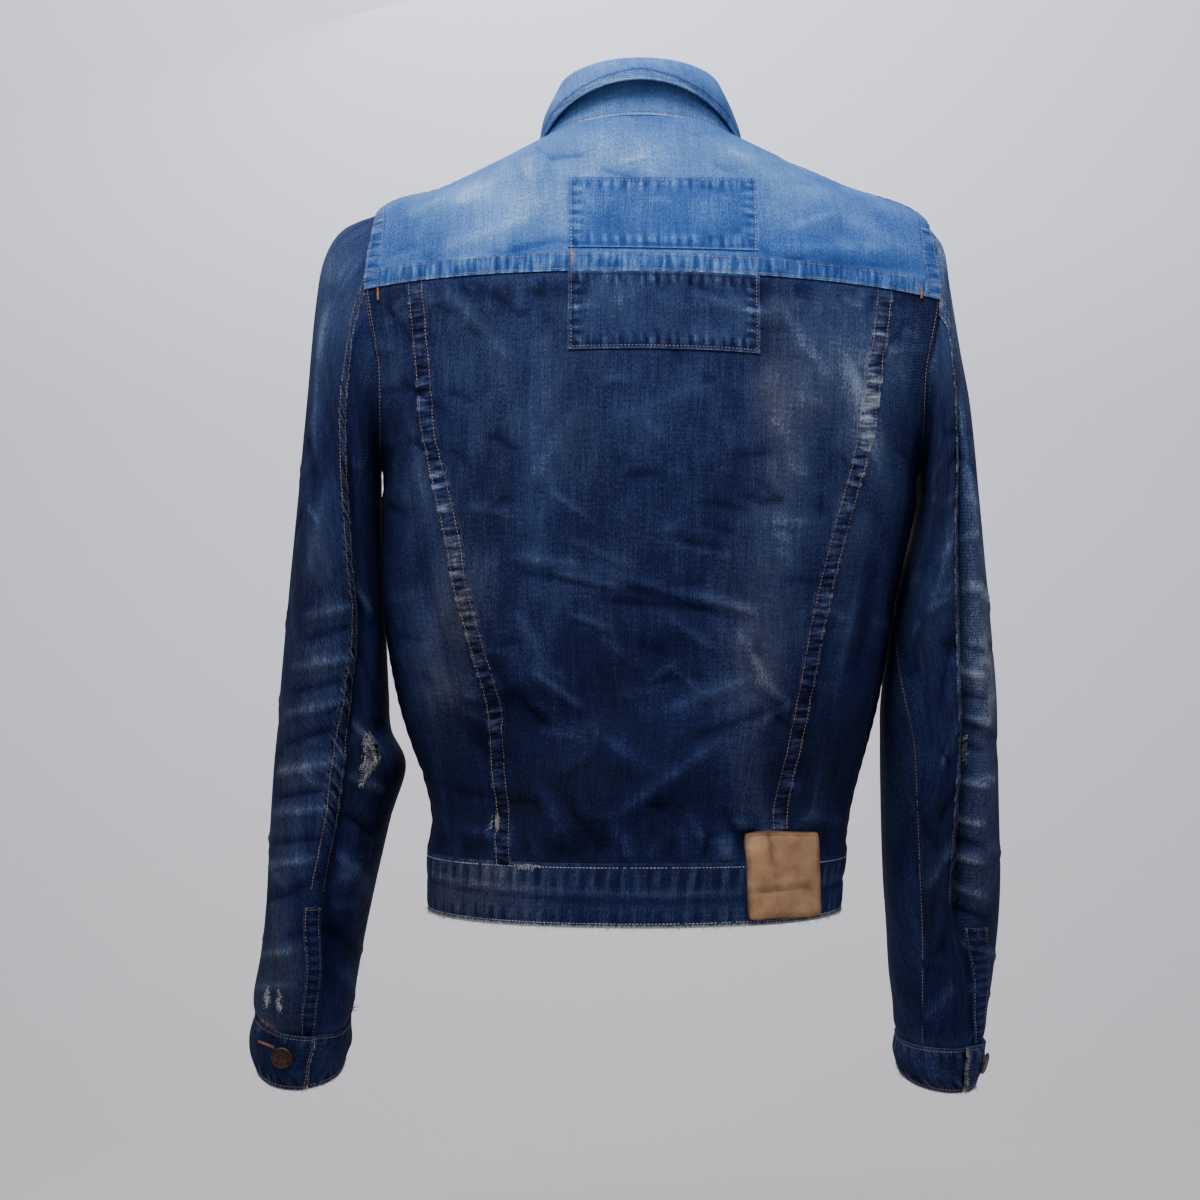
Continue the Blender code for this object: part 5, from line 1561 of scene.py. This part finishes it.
# The rip at the left elbow, in pixels of the photo: the top, height, left edge, width and lean of its
# leaf shape, and the middle and half sizes of its hole.
PHOTO_MIDDLE = 600
RIP_TOP, RIP_TALL, RIP_LEFT, RIP_WIDE, RIP_LEAN = 728, 59, 367, 17, 6
HOLE_X, HOLE_Y, HOLE_HALF_WIDTH, HOLE_HALF_HEIGHT = 374.5, 751, 4.0, 9.5
sleeve_pieces = {}
for word, side in (("left", 1), ("right", -1)):
    for part in ("under", "upper"):
        flip = side < 0
        first, last = (-0.009, 1.008) if part == "upper" else (-0.02, 1.02)

        def form(share, t, side=side, part=part, first=first, last=last, flip=flip):
            share = 1 - share if flip else share
            return sleeve_form(side, part, first + (last - first) * share, t)

        seam_edge = "end" if flip else "start"
        step, row_step = SLEEVE_STEPS[part, side]
        points, share, t = lay(
            form, -0.25, CUFF_SEAM - 0.02, seam_edge if part == "upper" else "", step, row_step
        )
        outwards = -1 if part == "upper" else 1
        run = away_from(points, seam_edge) / MM
        points = creased(points, SLEEVE_CREASES[part, side], outwards, run, points[..., 2] / MM)
        tuck = 2.4 * smooth(CUFF_SEAM - 0.55, CUFF_SEAM - 0.1, t) + 0.7 * (1 - smooth(0.1, 0.6, t))
        points = points - facing_of(points, outwards) * (tuck * MM)[..., None]
        x, z = side * points[..., 0] / MM, points[..., 2] / MM
        tone = soft_spots(
            points,
            0.31,
            [
                (side * 250, -80, 60, 60, 0.26),
                (side * 225, -140, 40, 50, 0.10),
                (-262, -390, 22, 80, 0.14),
                (-262, -620, 26, 70, -0.10)
            ]
        )
        if part == "upper":
            wall, under, raised, wear, seam = felling(
                points, seam_edge, seed=20 + side, period=12.0, where=1 - smooth(9.9, 10.4, t)
            )
            tone += (
                0.12 * np.exp(-(((run - 34) / 22) ** 2)) * smooth(240, 330, -z) + 0.04 * raised
                + 0.14 * wear
            )
        else:
            wall, under, raised, wear, seam = CLOTH * MM, 0.0, 0.0, 0.0, 0.0
            tone -= 0.05
        tone += 1.3 * crest_wear(points, SLEEVE_CREASES[part, side], run, z)
        tone += 0.2 * smooth(13.3, 13.9, t)
        # Painted light: the right sleeve is painted lighter above the elbow, lifting the shade of its fold and of the
        # side under the arm.
        tone += (
            (0.10 * (side < 0) * smooth(-560, -380, z))
            + 0.07 * (side < 0) * (part == "upper") * smooth(20, 60, run) * smooth(-420, -200, z)
        )
        soil = (
            0.7 * np.exp(-(((run - 56) / 26) ** 2)) * (1 - smooth(-360, -250, z)) * (part == "upper")
            + 0.15 * raised
        )
        holes, rubbed = None, 0.0
        if side > 0 and part == "under":
            pixel = (EYE[1] - points[..., 1]) / FOCAL_PIXELS
            seen_x = PHOTO_MIDDLE - (points[..., 0] - EYE[0]) / pixel
            seen_y = PHOTO_MIDDLE - (points[..., 2] - EYE[2]) / pixel
            behind = points[..., 1] > -0.03
            u, v = (seen_x - HOLE_X) / HOLE_HALF_WIDTH, (seen_y - HOLE_Y) / HOLE_HALF_HEIGHT
            hole = (u**2 + v**2 < 1) & behind
            holes = hole[:-1, :-1] & hole[1:, :-1] & hole[:-1, 1:] & hole[1:, 1:]
            down = np.clip((seen_y - RIP_TOP) / RIP_TALL, 0, 1)
            leaf_left, leaf_wide = RIP_LEFT - RIP_LEAN * down, RIP_WIDE * (1 - np.abs(2 * down - 1) ** 1.4)
            inside = np.minimum(seen_x - leaf_left + 1.5, leaf_left + leaf_wide - seen_x + 1.5)
            middle = np.exp(-(((seen_x - 373) / 5) ** 2) - ((seen_y - 752) / 12) ** 2)
            rubbed = (0.62 * smooth(-1.5, 4.0, inside) - 0.25 * middle) * behind * (down > 0) * (down < 1)
        if part == "upper":
            rubbed = (
                0.75 * np.exp(-(((x - 279) / 4.5) ** 2) - ((z + 645) / 8) ** 2) * (side > 0)
                * (points[..., 1] > -0.04)
            )
            rubbed = (
                rubbed
                + 0.7 * np.exp(-(((x - 269) / 4) ** 2) - ((z + 648) / 8) ** 2) * (side > 0) * (
                    points[..., 1] > -0.04
                )
            )
            rubbed = (
                rubbed
                + 0.8 * np.exp(-(((x - 247) / 3) ** 2) - ((z + 453) / 9) ** 2) * (side < 0) * (
                    points[..., 1] > 0
                )
            )
        piece = cloth(
            f"sleeve_{part}_piece_{word}",
            points,
            wall,
            denim_sleeve,
            outwards,
            under,
            holes,
            {"fade": tone, "raised": raised, "rubbed": rubbed, "seam": seam, "soil": soil}
        )
        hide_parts(f"sleeve_{part}_{word}")
        if part == "upper":
            lines = [seam_line(piece, seam_edge, inset, 0.02, 0.8) for inset in (1.8, 12.6)]
            lines += [seam_line(piece, "low", 6.0), seam_line(piece, "start" if flip else "end", 2.0)]
        else:
            lines = [seam_line(piece, "low", 6.0)]
        stitching = sewn(f"sleeve_{part}_stitching_{word}", lines, TAN_THREAD, seed=15)
        sleeve_pieces[part, side] = piece

# Threads across the rip, from one edge of its leaf shape to the other.
MM_PER_PIXEL = 0.752
torn = []
for y in np.linspace(RIP_TOP + 4, RIP_TOP + 54, 30):
    down = (y - RIP_TOP) / RIP_TALL
    left, wide = RIP_LEFT - 1 - RIP_LEAN * down, RIP_WIDE * (1 - abs(2 * down - 1) ** 1.4)
    ends = [(left, y - 1.5 + 3 * math.sin(7 * y)), (left + wide, y + 1.5 * math.sin(11 * y))]
    torn.append(
        path_on(
            sleeve_pieces["under", 1],
            [
                (
                    1000 * EYE[0] + (PHOTO_MIDDLE - px) * MM_PER_PIXEL,
                    1000 * EYE[2] + (PHOTO_MIDDLE - py) * MM_PER_PIXEL
                )
                for px,
                py in ends
            ],
            1.5
        )
    )
sewn("elbow_rip_threads", torn, BARE_THREAD, pitch=30, length=14, radius=0.2, skip=0, seed=41)
frayed("elbow_rip_ends", torn, 5, (1.0, 4.0), (0, 0.2, -1), radius=0.18, seed=42)
wefts = np.random.default_rng(43)
worn_spots = []
for centre, top in ((269.0, -636.0), (279.5, -634.0)):
    for z in np.arange(top, top - 17, -1.25):
        x, half = (
            centre
            + wefts.uniform(-1.2, 1.2), wefts.uniform(1.0, 2.8) * math.sin(math.pi * (top - z + 2) / 20)
        )
        worn_spots.append(
            path_on(
                sleeve_pieces["upper", 1], [(x + half, z), (x - half, z + wefts.uniform(-0.8, 0.8))], 0.8
            )
        )
sewn(
    "cuff_end_worn_threads",
    worn_spots,
    BARE_THREAD,
    pitch=30,
    length=6,
    radius=0.22,
    skip=0,
    seed=43
)
frayed("cuff_end_worn_ends", worn_spots, 3, (0.8, 2.6), radius=0.16, seed=44)
fold_fray = [path_on(sleeve_pieces["upper", -1], [(-x, -443), (-x, -463)]) for x in (246, 248)]
frayed("right_fold_frays", fold_fray, 45, (1.2, 3.6), (0.4, 0, -0.6), radius=0.22, seed=45)

# Cuffs: a doubled strip round the end of each sleeve that laps over itself and is buttoned, and the
# narrow placket strip that finishes the sleeve opening above it.
CUFF_LAP, CUFF_INSET = 20.0, 2.0
PLACKET_TOP = 10.95
PLACKET_COLUMNS = {1: (0.0, 0.058), -1: (0.056, 0.114)}
denim_cuff = denim("denim_cuffs", DARK_TONES, seed=83.0, grime=0.8)
cuff_pieces = {}
for word, side in (("left", 1), ("right", -1)):

    def cuff_form(share, t, side=side):
        share = 1 - share if side < 0 else share
        ring = along_keys(SLEEVE_RINGS[side], np.asarray(t, float) - 1)
        back = ring[..., 8]
        lap = np.degrees(CUFF_LAP / ring[..., 4])
        turn = back + lap - (360 + lap) * share
        extra = (
            smooth(back - 360 + 2.2 * lap, back - 360 + 1.2 * lap, turn) * (DOUBLE + 0.5) - CUFF_INSET
            + 0.4
        )
        wide = ring.copy()
        wide[..., 0] += extra
        wide[..., 2] -= extra
        wide[..., 4] += extra
        return sleeve_ring_point(side, wide, turn)

    points, share, t = lay(cuff_form, CUFF_SEAM - 0.12, CUFF_HEM, "", 3.0, 2.2)
    run, low = lengths_of(points, 1) / MM, away_from(points, "high") / MM
    high = away_from(points, "low") / MM
    beat = np.sin(run * 2 * math.pi / 8.5 + 1.5 * np.sin(run / 27))
    near_top, near_foot = np.exp(-(((high - 6) / 4) ** 2)), np.exp(-(((low - 6) / 4) ** 2))
    ripple = (
        (1.2 * np.sin(run / 13 + 2 * np.sin(run / 40)) + 0.9 * np.sin(run / 7 + low / 5 + 1))
        * smooth(0, 14, low) * smooth(0, 10, high)
    )
    points = points + facing_of(points, 1) * (ripple * MM)[..., None]
    wall = (
        (
            DOUBLE + 0.3 * beat * (near_top + near_foot) - 0.35 * np.exp(-(((high - 2.6) / 1.2) ** 2))
            - 0.35 * np.exp(-(((low - 3) / 1.2) ** 2))
        )
        * MM
    )
    tone = (
        soft_spots(points, 0.30 if side > 0 else 0.36, []) + 0.14 * beat * (near_top + near_foot)
        + 0.30 * np.exp(-((low / 2.0) ** 2)) + 0.2 * np.exp(-((high / 1.2) ** 2))
    )
    flap_edge = "end" if side > 0 else "start"
    seam = away_from(points, flap_edge) / MM
    rubbed = 0.85 * (1 - smooth(1.0, 2.6, low)) + 0.55 * np.exp(-((seam / 1.2) ** 2))
    piece = cloth(
        f"cuff_piece_{word}",
        points,
        wall,
        denim_cuff,
        marks={
            "fade": tone,
            "raised": 0.6 * (near_top + near_foot),
            "rubbed": rubbed,
            "seam": np.stack(np.broadcast_arrays(run, low), -1) * MM
        }
    )
    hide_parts(f"cuff_{word}")
    lines = [seam_line(piece, "low", 2.6), seam_line(piece, "high", 3.0), seam_line(piece, flap_edge, 2.2)]
    stitching = sewn(f"cuff_stitching_{word}", lines, TAN_THREAD, seed=16)
    cuff_pieces[side] = piece
    frayed(
        f"cuff_hem_frays_{word}",
        [seam_line(piece, "high", 0.5)],
        420,
        (0.8, 2.6),
        radius=0.2,
        seed=51 + side
    )
    frayed(
        f"cuff_flap_frays_{word}",
        [seam_line(piece, flap_edge, 0.5)],
        90,
        (0.6, 2.0),
        radius=0.18,
        seed=53 + side
    )

    def placket_form(share, t, side=side):
        low, high = PLACKET_COLUMNS[side]
        column = low + (high - low) * (1 - share if side < 0 else share)
        place = sleeve_form(side, "upper", column, t)
        across = sleeve_form(side, "upper", column + 0.01, t) - sleeve_form(side, "upper", column - 0.01, t)
        down = sleeve_form(side, "upper", column, t + 0.01) - sleeve_form(side, "upper", column, t - 0.01)
        out = np.cross(across, down) * side
        out /= np.linalg.norm(out, axis=-1, keepdims=True)
        sunk = 1.8 * smooth(CUFF_SEAM - 0.6, CUFF_SEAM - 0.15, t)
        return place + out * ((CLOTH + 0.15 - sunk) * MM)[..., None]

    points, share, t = lay(placket_form, PLACKET_TOP, CUFF_SEAM - 0.06, "", 2.0, 2.2)
    wall, wear, near, seam = edged(points, 18, 0.25, 1.0)
    piece = cloth(f"placket_piece_{word}", points, wall, denim_cuff, -1, marks={"fade": 0.34 + 0.24 * wear})
    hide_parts(f"placket_{word}")
    stitching = sewn(
        f"placket_stitching_{word}",
        [seam_line(piece, e, 1.8) for e in ("start", "end", "low")],
        TAN_THREAD,
        pitch=2.8,
        length=2.0,
        seed=17
    )

buttonhole = across_line(cuff_pieces[1], [(288, -679), (275, -682)], 2.6)
sewn(
    "cuff_buttonhole_stitches", buttonhole, ORANGE_THREAD, pitch=9, length=2.8, radius=0.33, skip=0
)
loose = [path_on(cuff_pieces[1], [(284, -660), (268, -671)])]
frayed(
    "cuff_loose_orange_threads",
    loose,
    30,
    (1.5, 4.5),
    (0.6, 0, -0.4),
    material=ORANGE_THREAD,
    seed=55
)
cuff_outer = cuff_pieces[1]["outer"].reshape(-1, 3)
inmost = cuff_outer[np.argmin(cuff_outer[:, 0] + 8 * np.abs(cuff_outer[:, 2] + 0.662))]
tuft = (np.array([inmost, inmost + (0.0004, 0.002, -0.001)]), np.array([[-1.0, 0.1, 0.2]] * 2))
frayed(
    "cuff_tuft", [tuft], 24, (3.0, 7.5), (-1, 0.2, 0.3), material=GREY_THREAD, radius=0.2, seed=56
)

# Leather patch: a bare piece of thick tan leather sewn on the waistband, creased down its left side
# and across its foot, with darkened worn edges.
LEATHER_LEFT, LEATHER_RIGHT = -77.0, -131.0


def leather_form(share, level):
    u, v = 2 * share - 1, (level - 0.13) / 1.53 * 2 - 1
    round_off = 1 - 0.035 * np.abs(u) ** 8 * np.abs(v) ** 8
    x = (LEATHER_LEFT + LEATHER_RIGHT) / 2 + (LEATHER_LEFT - LEATHER_RIGHT) / 2 * u * round_off + 1.2 * v
    tall = 0.895 + 0.765 * v * round_off + 0.022 * u + 0.012 * np.sin(3.3 * u + 1)
    return place_behind(x, tall, CLOTH + FELL_RISE + 0.7)


points, share, level = lay(leather_form, 0.13, 1.66, "", 1.5, 1.5)
u, v = points[..., 0] / MM, points[..., 2] / MM
points = creased(
    points,
    [
        (-93, -502, -103, -570, 2.2, -0.9),
        (-97, -502, -107, -568, 3.0, 0.8),
        (-78, -553, -130, -551, 2.0, -0.8),
        (-80, -548, -128, -546, 3.0, 0.6),
        (-112, -512, -121, -530, 5.0, 0.4)
    ]
)
near = np.min(
    np.broadcast_arrays(*[away_from(points, edge) for edge in ("start", "end", "low", "high")]), axis=0
) / MM
wall = (1.6 - 0.45 * np.exp(-(((near - 2.4) / 0.9) ** 2)) - 0.5 * np.exp(-((near / 0.8) ** 2))) * MM
hide = bpy.data.materials.new("worn_leather")
hide.use_nodes = True
nodes, links = hide.node_tree.nodes, hide.node_tree.links
place = nodes.new("ShaderNodeUVMap")
place.uv_map = "cut"
blotch, pores = nodes.new("ShaderNodeTexNoise"), nodes.new("ShaderNodeTexVoronoi")
blotch.inputs["Scale"].default_value = 60
blotch.inputs["Detail"].default_value = 6
pores.inputs["Scale"].default_value = 900
worn = nodes.new("ShaderNodeAttribute")
worn.attribute_name = "fade"
total = nodes.new("ShaderNodeMath")
links.new(place.outputs["UV"], blotch.inputs["Vector"])
links.new(place.outputs["UV"], pores.inputs["Vector"])
links.new(blotch.outputs["Fac"], total.inputs[0])
links.new(worn.outputs["Fac"], total.inputs[1])
ramp = nodes.new("ShaderNodeValToRGB")
ramp.color_ramp.elements[0].position = 0.2
ramp.color_ramp.elements[0].color = (0.09, 0.04, 0.016, 1)
ramp.color_ramp.elements[1].position = 0.85
ramp.color_ramp.elements[1].color = (0.47, 0.27, 0.13, 1)
middle = ramp.color_ramp.elements.new(0.5)
middle.color = (0.30, 0.155, 0.07, 1)
links.new(total.outputs[0], ramp.inputs["Fac"])
links.new(ramp.outputs["Color"], nodes["Principled BSDF"].inputs["Base Color"])
nodes["Principled BSDF"].inputs["Roughness"].default_value = 0.62
relief = nodes.new("ShaderNodeBump")
relief.inputs["Strength"].default_value = 0.35
relief.inputs["Distance"].default_value = 0.0004
links.new(pores.outputs["Distance"], relief.inputs["Height"])
links.new(relief.outputs["Normal"], nodes["Principled BSDF"].inputs["Normal"])
lines = ridge_heights(
    u,
    v,
    [
        (-93, -502, -98, -536, 1.8, 1),
        (-98, -536, -103, -570, 1.4, 0.6),
        (-84, -554, -112, -551, 1.2, 0.5),
        (-112, -551, -130, -553, 1.6, 0.7)
    ]
)
leather = cloth(
    "leather_patch_piece",
    points,
    wall,
    hide,
    marks={
        "fade": 0.06 - 0.16 * lines - 0.45 * np.exp(-((near / 1.2) ** 2))
        - 0.2 * np.exp(-(((near - 2.4) / 0.8) ** 2))
    }
)
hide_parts("leather_patch")
leather_rows = sewn(
    "leather_stitching",
    [seam_line(leather, e, 2.4) for e in ("start", "end", "low", "high")],
    TAN_THREAD,
    pitch=2.9,
    length=2.0,
    radius=0.3,
    seed=19
)

# Buttons: domed shank buttons of darkened copper, one on each cuff, five down the front and one on
# the waistband, each turned with a raised rim and a sunk ring, and riveted through the cloth.
BUTTON_PROFILE = [
    (0.0, 2.75),
    (2.2, 2.7),
    (4.4, 2.5),
    (5.4, 2.25),
    (5.9, 2.0),
    (6.3, 2.1),
    (6.7, 2.55),
    (7.2, 2.8),
    (7.8, 2.65),
    (8.3, 2.1),
    (8.5, 1.5),
    (8.3, 1.0),
    (7.3, 0.75),
    (2.6, 0.75),
    (2.6, 0.0),
    (0.0, 0.0)
]
copper = bpy.data.materials.new("aged_copper_finish")
copper.use_nodes = True
nodes, links = copper.node_tree.nodes, copper.node_tree.links
nodes["Principled BSDF"].inputs["Metallic"].default_value = 0.85
where = nodes.new("ShaderNodeTexCoord")
patina = nodes.new("ShaderNodeTexNoise")
patina.inputs["Scale"].default_value = 420
patina.inputs["Detail"].default_value = 5
links.new(where.outputs["Object"], patina.inputs["Vector"])
ramp = nodes.new("ShaderNodeValToRGB")
ramp.color_ramp.elements[0].position = 0.35
ramp.color_ramp.elements[0].color = (0.03, 0.017, 0.013, 1)
ramp.color_ramp.elements[1].position = 0.75
ramp.color_ramp.elements[1].color = (0.11, 0.058, 0.042, 1)
links.new(patina.outputs["Fac"], ramp.inputs["Fac"])
links.new(ramp.outputs["Color"], nodes["Principled BSDF"].inputs["Base Color"])
rough = nodes.new("ShaderNodeMapRange")
rough.inputs["To Min"].default_value = 0.35
rough.inputs["To Max"].default_value = 0.62
links.new(patina.outputs["Fac"], rough.inputs["Value"])
links.new(rough.outputs["Result"], nodes["Principled BSDF"].inputs["Roughness"])


def button(name, node, place, facing):
    axis = facing / np.linalg.norm(facing)
    side = np.cross(axis, (0, 0, 1.0))
    side /= np.linalg.norm(side)
    up = np.cross(axis, side)
    steps = 40
    corners = [place + axis * (BUTTON_PROFILE[0][1] * MM)]
    for r, h in BUTTON_PROFILE[1:-1]:
        for k in range(steps):
            a = 2 * math.pi * k / steps
            corners.append(place + (side * math.cos(a) + up * math.sin(a)) * (r * MM) + axis * (h * MM))
    corners.append(place)
    faces = [(0, 1 + k, 1 + (k + 1) % steps) for k in range(steps)]
    for i in range(len(BUTTON_PROFILE) - 3):
        base = 1 + i * steps
        faces += [
            (base + k, base + steps + k, base + steps + (k + 1) % steps, base + (k + 1) % steps)
            for k in range(steps)
        ]
    last = 1 + (len(BUTTON_PROFILE) - 3) * steps
    faces += [(last + k, len(corners) - 1, last + (k + 1) % steps) for k in range(steps)]
    made = joined(name, corners, faces, copper)
    made.data.set_sharp_from_angle(angle=math.radians(50))
    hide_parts(node)
    return made


stack = CLOTH + 3.0
for i in range(5):
    level = WAIST_SEAM + 0.9 + (NECK - 1.9 - WAIST_SEAM - 0.9) * i / 4
    facing = body_facing(math.pi, level)
    button(
        f"front_shank_button_{i + 1}",
        f"front_button_{i + 1}",
        body_form(math.pi, level) + facing * (stack * MM),
        facing
    )
facing = body_facing(math.pi, 0.5)
button(
    "waist_shank_button",
    "waist_button",
    body_form(math.pi, 0.5) + facing * ((2 * (DOUBLE + 0.5) + 0.1) * MM),
    facing
)
for word, side in (("left", 1), ("right", -1)):
    t = CUFF_SEAM + 0.85
    ring = along_keys(SLEEVE_RINGS[side], t - 1)
    turn = ring[8] + 30.0
    across = sleeve_ring_point(side, ring, turn + 2) - sleeve_ring_point(side, ring, turn - 2)
    down = (
        sleeve_ring_point(side, along_keys(SLEEVE_RINGS[side], t - 0.8), turn)
        - sleeve_ring_point(side, along_keys(SLEEVE_RINGS[side], t - 1.2), turn)
    )
    facing = np.cross(across, down) * side
    facing /= np.linalg.norm(facing)
    button(
        f"cuff_shank_button_{word}",
        f"cuff_button_{word}",
        sleeve_ring_point(side, ring, turn) + facing * ((2 * (DOUBLE + 0.5) - CUFF_INSET) * MM),
        facing
    )
